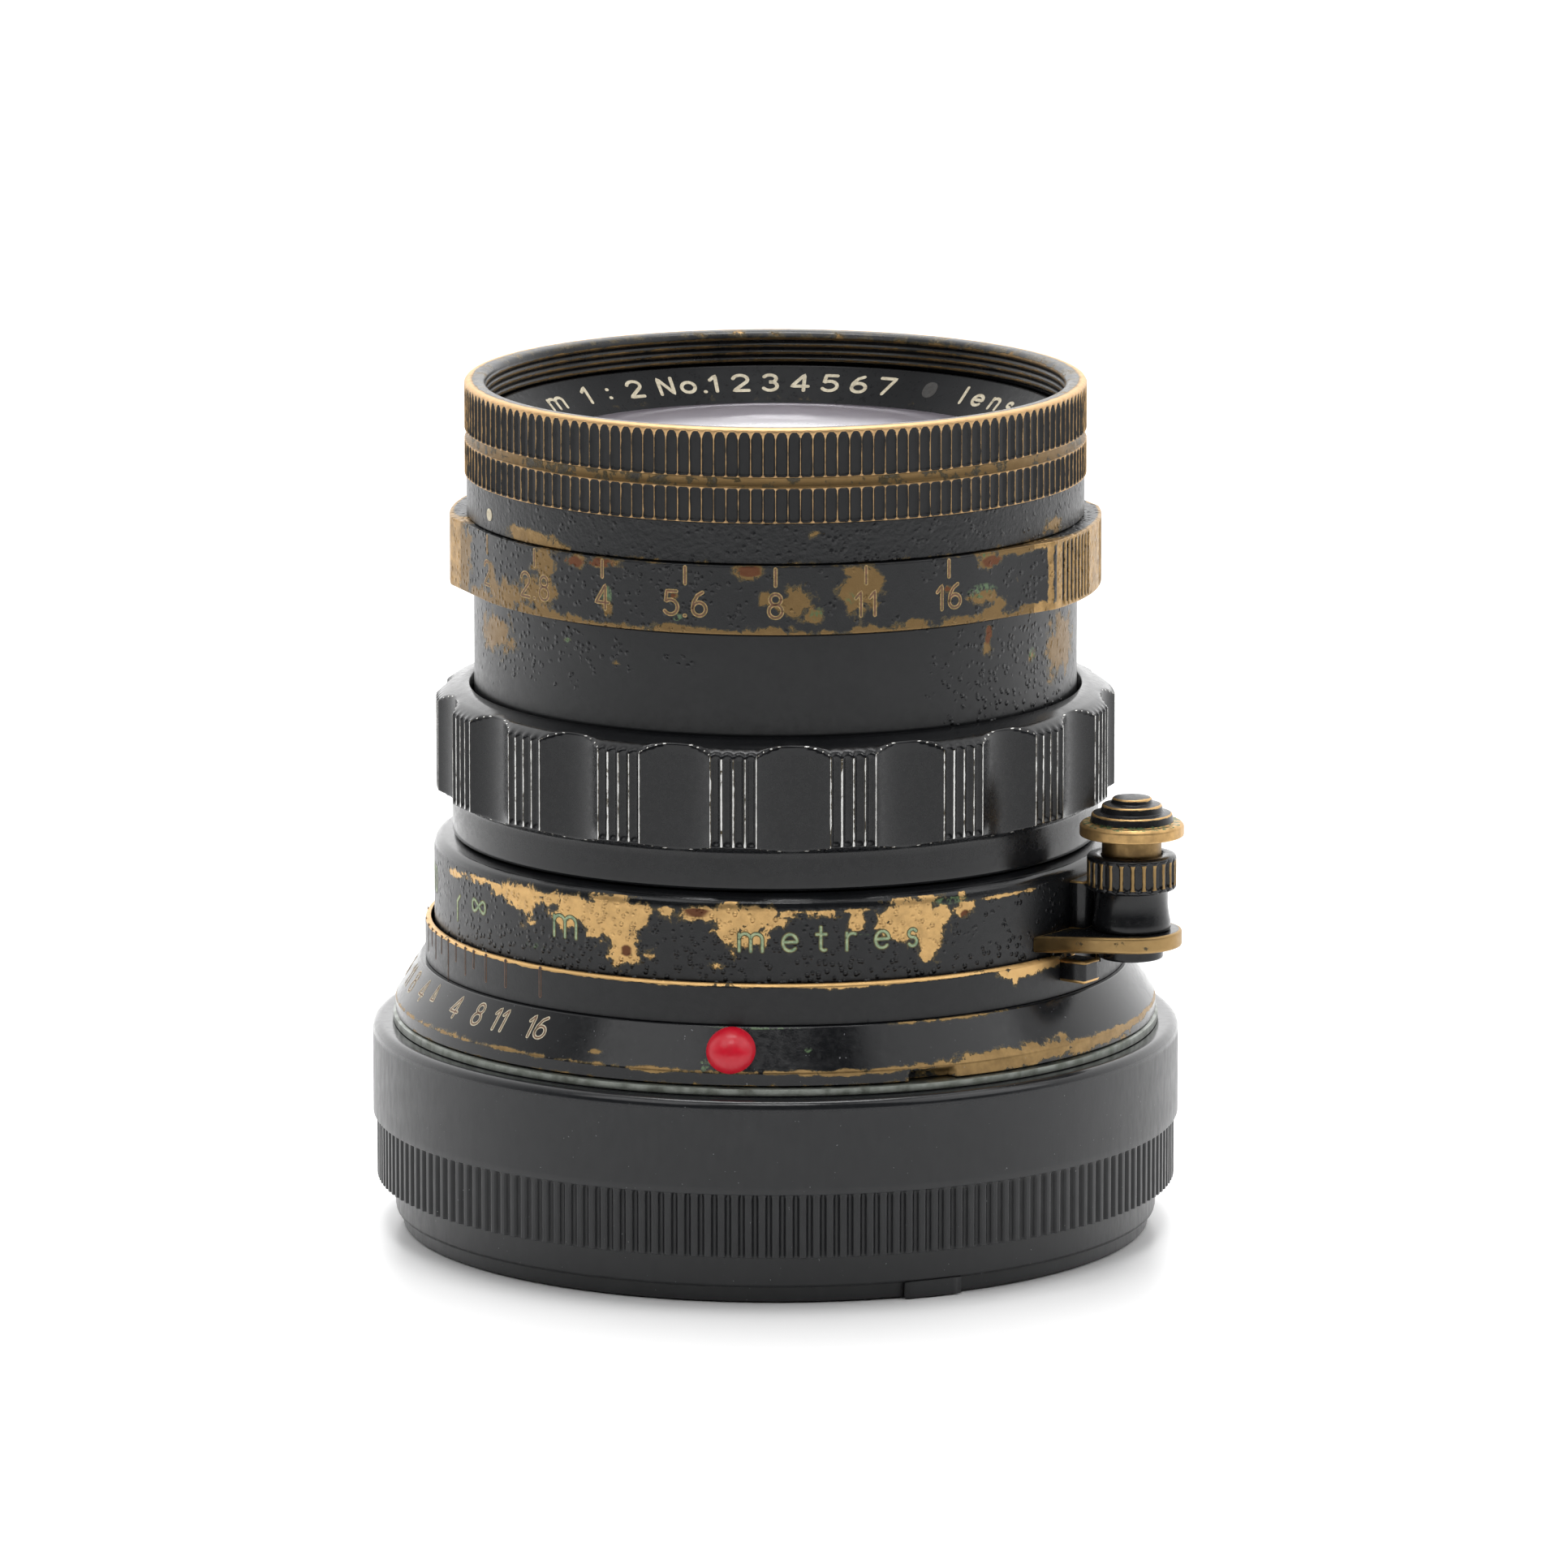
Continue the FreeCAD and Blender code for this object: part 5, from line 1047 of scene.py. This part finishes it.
def make_depth_ring():
    """The depth scale ring, bright along its top edge, with its engraved lines."""
    radius = DEPTH.radius
    low = DEPTH.bottom
    high = DEPTH.top
    bore = 23.4
    notch_first = 57.6
    notch_last = 67.0
    outline = refined(rounded([
        (bore, low), (radius, low, 0.03), (radius, high - 0.16, 0.1), (radius - 0.18, high, 0.08),
        (bore, high, 0.04),
    ], 0.03, 4), 0.35)

    def shape(rim, height, azimuth):
        notch = (azimuth > notch_first) & (azimuth < notch_last)
        return rim, np.where(notch, np.minimum(height, low + 1.3 - (high - height) * 0.02), height)

    def marks(rim, height, azimuth):
        edge = smoothstep(high - 0.34, high - 0.12, height)
        amount = 0.75 + 0.12 * np.sin(np.radians(azimuth * 7))
        amount = amount + 0.1 * np.sin(np.radians(azimuth * 17 + 40))
        front = smoothstep(-160, -110, azimuth) * (1 - smoothstep(45, 48, azimuth))
        worn = edge * (0.5 + (amount - 0.3) * front) - 0.1
        spots = ((11.8, 21.1, 5.0, 0.24, 1.0), (43.0, 20.7, 4.0, 0.4, 1.0), (42.2, 20.2, 0.9, 0.45, 0.95),
                 (49.2, 20.9, 4.5, 0.3, 1.0), (-17.1, 21.2, 4.4, 0.24, 0.95), (-4.3, 21.2, 2.8, 0.24, 0.9),
                 (57, high - 0.5, 0.8, 1.0, 0.95))
        return {"worn": np.maximum(worn, patches(azimuth, height, spots)), "aged": 0.1}

    azimuths = denser(0.5, 0.1, ((57.0, 58.0), (66.5, 67.5)))
    piece = lathe("depth_scale_worn", outline, azimuths, shape, marks)
    finish_piece(piece, "mount", PAINT, "black_paint", "depth_scale_ring")
    make_depth_figures(radius, low, high)


def make_depth_figures(radius, low, high):
    """The index line, the depth lines on both sides of it, and their figures on the cone."""
    top = high - 0.12
    lines = ((3.3, 1.1), (6.8, 1.75), (9.6, 1.1), (13.3, 1.75), (18.6, 1.75), (26.7, 1.9))
    strokes = [(RoundFace(radius, low + 0.05), INDEX_AZIMUTH, [(0.0, 0.0), (0.0, high - low - 0.15)])]
    for offset, length in lines:
        for side in (-1, 1):
            face = RoundFace(radius, top - length)
            strokes.append((face, INDEX_AZIMUTH + side * offset, [(0.0, 0.0), (0.0, length)]))
    two_tone("depth_lines", strokes, "mount", "black_paint", 0.24, COPPER_FILL, 0.12, DARK_FILL_AND_SLOT_SHADE)
    face = cone_face(CONE_TOP - 1.75)
    strokes = []
    for text, offset in (("4", 6.8), ("8", 13.3), ("11", 18.6), ("16", 26.7)):
        for side in (-1, 1):
            azimuth = INDEX_AZIMUTH + 1.3 + side * offset
            strokes += written(face, azimuth, text, 1.5, 0.12, 0.16)
    strokes.append((face, INDEX_AZIMUTH, [(-0.25, 0.5), (0.0, 1.6), (0.25, 0.5), (-0.25, 0.5)]))
    two_tone("depth_figures", strokes, "mount", "black_paint", 0.26, CREAM_FILL, 0.1, COPPER_FILL)


def cone_face(foot):
    """The face of the base's cone from a height upwards."""
    run = BASE.radius - CONE_TOP_RADIUS
    rise = CONE_TOP - CONE_BEND
    length = math.hypot(run, rise)
    radius = BASE.radius - run * (foot - CONE_BEND) / rise
    return RoundFace(radius, foot, -run / length, rise / length)


def make_mount_base():
    """The glossy cone, worn along its lower edge, with its notch."""
    low = 14.75
    notch_floor = 25.0
    notch_half = math.degrees(1.6 / 25.5)
    bore = 19.45
    tail = 20.55
    well = 22.3
    well_floor = 16.4
    rim_bore = 23.45
    outline = refined(rounded([
        (bore, BASE.bottom), (tail, BASE.bottom), (tail, low), (BASE.radius, low, 0.05),
        (BASE.radius, CONE_BEND, 0.08),
        (CONE_TOP_RADIUS, CONE_TOP, 0.1), (rim_bore, CONE_TOP, 0.03), (rim_bore, well_floor, 0.03),
        (well, well_floor, 0.03), (well, BASE.top), (bore, BASE.top),
    ], 0.05, 4), 0.4)

    def shape(rim, height, azimuth):
        in_notch = np.abs(turned_by(azimuth - NOTCH_AZIMUTH)) < notch_half
        inside = in_notch & (height < low + 0.75) & (rim > notch_floor)
        return np.where(inside, notch_floor, rim), height

    def marks(rim, height, azimuth):
        outside = rim > 23.9
        bend = 1 - smoothstep(0.05, 0.26, np.abs(height - CONE_BEND - 0.05))
        amount = 0.62 + np.where(azimuth > -2, 0.12, -0.04)
        foot = (1 - smoothstep(0.03, 0.14, height - low)) * 0.5
        spots = ((33.9, 15.35, 8.0, 0.6, 1.15), (44.0, 15.5, 8.0, 0.45, 1.1), (56.0, 15.4, 7.5, 0.34, 1.1),
                 (67.0, 15.5, 8.0, 0.25, 1.0), (-43.4, 15.7, 4.0, 0.16, 0.9), (-56.9, 15.8, 5.2, 0.16, 0.9),
                 (-19.5, 15.6, 3.7, 0.15, 0.95), (10.5, 15.5, 7.0, 0.16, 1.0), (-28.4, 16.3, 1.1, 0.15, 0.8),
                 (26.0, 18.2, 1.0, 0.18, 0.75), (48.0, 16.4, 3.0, 0.2, 0.7), (30, 18.35, 12, 0.1, 0.85))
        worn = np.maximum(bend * amount, foot)
        worn = np.where(outside, np.maximum(worn - 0.1, patches(azimuth, height, spots)), -0.3)
        greens = ((-3, 18.3, 14, 0.15, 0.75), (-10.5, 16.0, 1.2, 0.5, 0.9), (5, 17.0, 1.6, 0.4, 0.7))
        return {"worn": worn, "aged": 0.55, "green": patches(azimuth, height, greens)}

    sides = (NOTCH_AZIMUTH - notch_half, NOTCH_AZIMUTH + notch_half)
    azimuths = denser(0.5, 0.08, [(side - 0.3, side + 0.3) for side in sides])
    piece = lathe("mount_cone", outline, azimuths, shape, marks)
    finish_piece(piece, "mount", GLOSSY, "black_paint", "mount_base")


def make_bead():
    """The red bead, a glossy dome on a short shank."""
    radius = (BEAD.top - BEAD.bottom) / 2
    azimuth = math.degrees(math.atan2(BEAD.middle.x, -BEAD.middle.y))
    height = (BEAD.top + BEAD.bottom) / 2
    angles = np.radians(np.linspace(90, 0, 20))
    profile = [(radius * math.cos(a), radius * math.sin(a)) for a in angles]
    profile += [(radius, -0.3), (radius - 0.05, -0.62), (radius - 0.3, -0.65), (0.0, -0.65)]
    piece = lathe("alignment_dome", profile, even(72), closed=False)
    seat = (*plan_point(24.5, azimuth), height)
    lie_down = Matrix.Rotation(math.radians(azimuth), 4, "Z") @ Matrix.Rotation(math.radians(90), 4, "X")
    piece.data.transform(Matrix.Translation(Vector(seat) * MM) @ lie_down)
    finish_piece(piece, "mount", RED, "red_bead", "alignment_bead")


def make_catch():
    """The small stop that the lock's foot meets at infinity."""
    azimuth = math.degrees(math.atan2(CATCH.middle.x, -CATCH.middle.y))
    half = 2.0
    piece = sector_block("infinity_stop", azimuth - half, azimuth + half, 23.79, 25.8,
                         CATCH.bottom, CATCH.top, 0.18)
    finish_piece(piece, "mount", EDGE_PAINT, "black_paint", "infinity_catch")


# ---- blocks with worn edges ----

def slab(name, outline, bottom, top, bevel, worn_side=0.0):
    """A flat plate with bevelled edges, from a plan outline of (x, y) points, worn along its edges."""
    plan = np.array(outline, float)
    if np.sum(plan[:, 0] * np.roll(plan[:, 1], -1) - plan[:, 1] * np.roll(plan[:, 0], -1)) < 0:
        plan = plan[::-1]
    edge = np.roll(plan, -1, axis=0) - plan
    edge /= np.linalg.norm(edge, axis=1)[:, None]
    normal = np.stack([edge[:, 1], -edge[:, 0]], -1)
    mitre = normal + np.roll(normal, 1, axis=0)
    mitre /= np.maximum(np.sum(mitre * mitre, axis=1), 0.6)[:, None] / 2
    rings = [(bevel * 1.6, bottom, 0.35), (bevel, bottom, 0.8), (bevel * 0.3, bottom + bevel * 0.3, 1.0),
             (0.0, bottom + bevel, 0.8), (0.0, bottom + bevel * 1.6, worn_side),
             (0.0, top - bevel * 1.6, worn_side), (0.0, top - bevel, 0.8),
             (bevel * 0.3, top - bevel * 0.3, 1.0), (bevel, top, 0.8), (bevel * 1.6, top, 0.35)]
    edit = bmesh.new()
    layer = edit.verts.layers.float.new("worn")
    loops = []
    for inset, height, worn in rings:
        loop = []
        for point, outward in zip(plan, mitre):
            vert = edit.verts.new(Vector((*(point - outward * inset), height)) * MM)
            vert[layer] = worn
            loop.append(vert)
        loops.append(loop)
    count = len(plan)
    for lower, upper in zip(loops, loops[1:]):
        for index in range(count):
            beside = (index + 1) % count
            edit.faces.new((lower[index], lower[beside], upper[beside], upper[index]))
    for loop, height in ((loops[0][::-1], bottom), (loops[-1], top)):
        middle = edit.verts.new(sum((vert.co for vert in loop), Vector()) / count)
        middle[layer] = 0.0
        for index in range(count):
            edit.faces.new((loop[index], loop[(index + 1) % count], middle))
    mesh = bpy.data.meshes.new(name)
    edit.to_mesh(mesh)
    edit.free()
    mesh.shade_smooth()
    return link(name, mesh)


def plan_point(radius, azimuth):
    turn = math.radians(azimuth)
    return (radius * math.sin(turn), -radius * math.cos(turn))


def sector_block(name, first, last, inner, outer, bottom, top, bevel):
    """A bevelled piece of a ring."""
    steps = np.linspace(first, last, 7)
    plan = [plan_point(inner, azimuth) for azimuth in steps] + [plan_point(outer, a) for a in steps[::-1]]
    return slab(name, plan, bottom, top, bevel)


# ---- infinity lock ----

LOCK_CENTRE = plan_point(LOCK_OFFSET, LOCK_AZIMUTH)


def make_lock_arm():
    """The arm that carries the lock, and the web that stiffens it."""
    inside = 23.19
    end_radius = 3.4
    bottom = ARM.bottom
    plate_top = bottom + 1.1
    centre = np.array(LOCK_CENTRE)
    outward = centre / np.linalg.norm(centre)
    sideways = np.array((-outward[1], outward[0]))
    root = [plan_point(inside, azimuth) for azimuth in np.linspace(LOCK_AZIMUTH + 14, LOCK_AZIMUTH - 14, 15)]
    nose = []
    for angle in np.radians(np.linspace(-63, 63, 19)):
        nose.append(tuple(centre + end_radius * (outward * math.cos(angle) + sideways * math.sin(angle))))
    plate = slab("lock_arm_plate", root + nose, bottom, plate_top, 0.14, 0.6)
    web_inner = centre - outward * (LOCK_OFFSET - inside)
    web_outer = centre - outward * 2.68
    half = 1.7
    web = [tuple(web_inner - sideways * half), tuple(web_outer - sideways * half),
           tuple(web_outer + sideways * half), tuple(web_inner + sideways * half)]
    riser = slab("lock_arm_web", web, plate_top - 0.1, ARM.top, 0.1, 0.1)
    finish_piece(plate, "focus", ARM_PAINT, "black_paint", "lock_arm")
    finish_piece(riser, "focus", ARM_PAINT, "black_paint", "lock_arm")


def about_lock(name, outline, body, material, slot, node, shape=None, marks=None, count=144):
    """A turned piece of the lock, on the lock's own axis."""
    piece = lathe(name, outline, even(count), shape, marks, LOCK_CENTRE, closed=outline[0][0] > 0)
    finish_piece(piece, body, material, slot, node)


def make_lock_post():
    """The lock's post, with a knurled collar whose ridges are worn to brass."""
    top = POST.top
    collar_low = 25.4
    collar = 3.0
    ridges = 24
    heights = [*np.linspace(collar_low + 0.3, collar_low + 0.75, 5), *np.linspace(top - 0.7, top - 0.28, 5)]
    low = POST.bottom
    outline = [(0.9, low), (2.5, low), (2.62, low + 0.04), (2.65, low + 0.15), (2.62, 23.3), (2.52, 23.8)]
    outline += [(2.45, 24.4), (2.45, collar_low - 0.05), (2.5, collar_low + 0.02), (2.9, collar_low + 0.1)]
    outline += [(collar, collar_low + 0.2)] + [(collar, height) for height in heights]
    outline += [(collar, top - 0.2), (collar - 0.08, top - 0.08), (collar - 0.3, top), (2.4, top)]
    outline += [(2.1, top - 0.03), (2.06, top - 0.15), (2.06, 23.12), (0.9, 23.12)]

    def cut(azimuth, height):
        return flutes(azimuth, height, ridges, 0.22, collar_low + 0.28, top - 0.25, 0.35, 0.35)

    def shape(rim, height, azimuth):
        return rim - np.where(rim > collar - 0.01, 0.2 * cut(azimuth, height), 0), height

    def marks(rim, height, azimuth):
        ridge = np.where((rim > collar - 0.01) & (height > collar_low + 0.3) & (height < top - 0.28),
                         0.75 * (1 - cut(azimuth, height)) - 0.1, -0.1)
        return {"worn": ridge, "aged": 0.45}

    about_lock("lock_post_knurled", outline, "focus", ARM_PAINT, "black_paint", "lock_post", shape, marks,
               ridges * 14)


def make_lock_button():
    """The stepped crown of the button and the brass stem below it."""
    low = STEM.top
    radius = 3.5
    crown = rounded([
        (0.0, low - 1.2, 0.0), (1.0, low - 1.2, 0.03), (1.0, low + 0.02, 0.03), (radius, low + 0.02, 0.1),
        (radius, low + 0.72, 0.1), (radius - 0.2, low + 0.92, 0.06), (radius - 0.7, low + 0.92, 0.05),
        (radius - 0.8, low + 1.52, 0.12), (radius - 1.4, low + 1.62, 0.06), (radius - 1.5, low + 2.12, 0.12),
        (radius - 2.1, low + 2.22, 0.06), (radius - 2.2, low + 2.57, 0.1), (0.0, BUTTON.top, 0.0),
    ], 0.05, 4)

    def marks(rim, height, azimuth):
        flange = np.where((height < low + 0.97) & (rim > 1.5), 0.85, -0.2)
        steps = np.zeros_like(rim)
        for step_radius, step_height in ((radius - 0.8, 1.52), (radius - 1.5, 2.12), (radius - 2.2, 2.57)):
            away = np.hypot(rim - step_radius, height - low - step_height)
            steps = np.maximum(steps, 1 - smoothstep(0.0, 0.24, away))
        return {"worn": np.maximum(flange, steps * 0.9 - 0.1), "aged": 0.4,
                "green": np.where(np.abs(height - low - 0.95) < 0.12, 0.62, 0.0)}

    about_lock("lock_button_crown", crown, "lock_button", EDGE_PAINT, "brass", "lock_button", None, marks)
    shoulder = 26.0
    foot = STEM.bottom
    stem = rounded([
        (0.0, foot, 0.0), (2.15, foot, 0.15), (2.15, foot + 0.8, 0.1), (0.8, foot + 0.8, 0.05),
        (0.8, shoulder, 0.05), (2.0, shoulder, 0.1), (2.0, low, 0.1), (1.03, low, 0.02),
        (1.03, low - 1.22, 0.02), (0.0, low - 1.22, 0.0),
    ], 0.05, 4)

    def stem_marks(rim, height, azimuth):
        return {"worn": np.where(height > shoulder - 0.5, 1.0, 0.2),
                "aged": np.where(height > shoulder, 0.6, 0.3)}

    about_lock("lock_stem_turned", stem, "lock_button", ARM_PAINT, "brass", "lock_stem", None, stem_marks)


# ---- rear cap ----

def make_rear_cap():
    """The moulded cap with its ridges, its inner collar and its lugs."""
    radius = CAP.radius
    ridge = radius - 0.25
    ridge_low = 3.3
    ridge_high = 7.67
    top = CAP.top
    floor = 3.0
    ridge_heights = [*np.linspace(ridge_low + 0.05, ridge_low + 0.6, 5), 5.5,
                     *np.linspace(ridge_high - 0.5, ridge_high, 5)]
    foot = 25.4
    foot_top = 1.08
    step = 25.9
    corners = [(0.0, 0.0, 0.0), (foot, 0.0, 0.12), (foot, foot_top, 0.06), (step, foot_top, 0.08)]
    outline = rounded(corners, 0.05)[:-2]
    outline += [(step, 1.3), (step, 3.1), (step + 0.02, 3.22), (step + 0.08, 3.28)]
    outline += [(26.6, ridge_low), (26.85, ridge_low)]
    outline += [(ridge, height) for height in ridge_heights]
    outline += [(radius - 0.02, ridge_high + 0.02), (radius, ridge_high + 0.06)]
    outline += [(radius, 8.2), (radius, 13.2)]
    for angle in np.radians(np.linspace(0, 90, 7)):
        outline.append((radius - 0.6 + 0.6 * math.cos(angle), top - 0.6 + 0.6 * math.sin(angle)))
    bore = 25.6
    collar = 23.6
    collar_bore = 22.4
    outline += [(radius - 0.8, top), (bore + 0.2, top), (bore + 0.08, top - 0.03), (bore, top - 0.12)]
    outline += [(bore, 12.0), (bore, floor + 1.2), (bore - 0.2, floor + 1.0)]
    outline += [(collar + 0.2, floor + 1.0), (collar, floor + 1.2), (collar, 12.0), (collar, top - 0.1)]
    outline += [(collar - 0.1, top), (collar_bore + 0.1, top), (collar_bore, top - 0.1), (collar_bore, 12.0)]
    outline += [(collar_bore, floor + 0.2), (collar_bore - 0.2, floor)]
    outline += [(18.0, floor), (0.0, floor)]

    def shape(rim, height, azimuth):
        cut = flutes(azimuth, height, CAP_RIDGES, 0.5, ridge_low - 0.3, ridge_high + 0.05, 0.3, 0.35)
        fluted = (rim > ridge - 0.01) & (rim < ridge + 0.01) & (height < ridge_high + 0.01)
        return rim - np.where(fluted, 0.3 * cut, 0), height

    def marks(rim, height, azimuth):
        return {"polish": smoothstep(top - 0.75, top - 0.5, height)}

    piece = lathe("rear_cap_moulded", outline, even(CAP_RIDGES * 10), shape, marks, closed=False)
    finish_piece(piece, "rear_cap", PLASTIC, "cap_plastic", "rear_cap")
    for number in range(4):
        azimuth = 90.0 * number
        lug = sector_block(f"cap_lug_{number + 1}", azimuth - 14, azimuth + 14, 21.5, 22.6, 12.45, 13.9, 0.1)
        finish_piece(lug, "rear_cap", PLASTIC, "cap_plastic", "rear_cap")
    half = math.degrees(2.05 / 26)
    tab = sector_block("cap_tab", NOTCH_AZIMUTH - half, NOTCH_AZIMUTH + half, 25.2, 25.9, 0.0, 1.12, 0.05)
    finish_piece(tab, "rear_cap", PLASTIC, "cap_plastic", "rear_cap")


# ---- studio ----

def make_floor():
    """A pale floor, wide enough to run out of every view."""
    shader = Shader("pale_floor")
    skin = shader.mix(shader.noise(60.0, 2.0), colour(250, 250, 250), colour(247, 247, 247))
    shader.shade(Base_Color=skin, Roughness=0.32, IOR=1.4)
    reach = 6.0
    edit = bmesh.new()
    corners = ((-reach, -reach), (reach, -reach), (reach, reach), (-reach, reach))
    edit.faces.new([edit.verts.new((x, y, -0.0001)) for x, y in corners])
    mesh = bpy.data.meshes.new("floor")
    edit.to_mesh(mesh)
    edit.free()
    floor = link("floor", mesh)
    floor.data.materials.append(shader.material)


def make_world():
    """White walls all round, dimmer towards the camera, so that black paint stays black."""
    world = bpy.data.worlds.new("studio")
    bpy.context.scene.world = world
    world.use_nodes = True
    tree = world.node_tree
    nodes = tree.nodes
    background = nodes["Background"]
    output = nodes["World Output"]
    place = nodes.new("ShaderNodeTexCoord")
    split = nodes.new("ShaderNodeSeparateXYZ")
    tree.links.new(place.outputs["Generated"], split.inputs[0])
    front = nodes.new("ShaderNodeMapRange")
    front.interpolation_type = "SMOOTHSTEP"
    for socket, value in (("From Min", -0.6), ("From Max", 0.8), ("To Min", 0.03), ("To Max", 1.9)):
        front.inputs[socket].default_value = value
    tree.links.new(split.outputs["Y"], front.inputs["Value"])
    tree.links.new(front.outputs[0], background.inputs["Strength"])
    background.inputs["Color"].default_value = (1.0, 1.0, 1.0, 1.0)
    seen = nodes.new("ShaderNodeBackground")
    seen.inputs["Color"].default_value = (1.0, 1.0, 1.0, 1.0)
    path = nodes.new("ShaderNodeLightPath")
    choice = nodes.new("ShaderNodeMixShader")
    tree.links.new(path.outputs["Is Camera Ray"], choice.inputs[0])
    tree.links.new(background.outputs[0], choice.inputs[1])
    tree.links.new(seen.outputs[0], choice.inputs[2])
    tree.links.new(choice.outputs[0], output.inputs["Surface"])


def soft_light(name, azimuth, elevation, distance, size, power):
    """A square soft box that points at the lens."""
    data = bpy.data.lights.new(name, "AREA")
    data.size = size
    data.energy = power
    light = bpy.data.objects.new(name, data)
    bpy.context.scene.collection.objects.link(light)
    turn = math.radians(azimuth)
    rise = math.radians(elevation)
    away = Vector((math.sin(turn) * math.cos(rise), -math.cos(turn) * math.cos(rise), math.sin(rise)))
    aim = Vector((0.0, 0.0, 0.03))
    light.location = aim + away * distance
    light.rotation_mode = "QUATERNION"
    light.rotation_quaternion = away.to_track_quat("Z", "Y")


def make_camera():
    """A long lens a little above the object, looking slightly down."""
    data = bpy.data.cameras.new("camera")
    data.lens = 300.0
    data.sensor_width = 36.0
    data.shift_x = 0.0054
    data.clip_start = 0.05
    camera = bpy.data.objects.new("camera", data)
    bpy.context.scene.collection.objects.link(camera)
    pitch = 11.11
    camera.location = (0.0, -0.870, 0.2009)
    camera.rotation_euler = (math.radians(90.0 - pitch), 0.0, 0.0)
    bpy.context.scene.camera = camera


dress_cad_nodes()
make_front_rim()
make_name_ring()
make_front_element()
make_front_barrel()
make_head_barrel()
make_aperture_ring()
make_focus_ring()
make_distance_ring()
make_depth_ring()
make_mount_base()
make_bead()
make_catch()
make_lock_arm()
make_lock_post()
make_lock_button()
make_rear_cap()
make_floor()
make_world()
soft_light("left_box", -46.0, 50.0, 1.3, 0.75, 3.2)
soft_light("right_box", 66.0, 44.0, 1.3, 1.0, 4.6)
soft_light("top_box", 180.0, 78.0, 1.6, 0.8, 16.0)
soft_light("floor_fill", 0.0, 62.0, 1.8, 0.5, 5.0)
make_camera()
bpy.context.scene.view_settings.view_transform = "Standard"
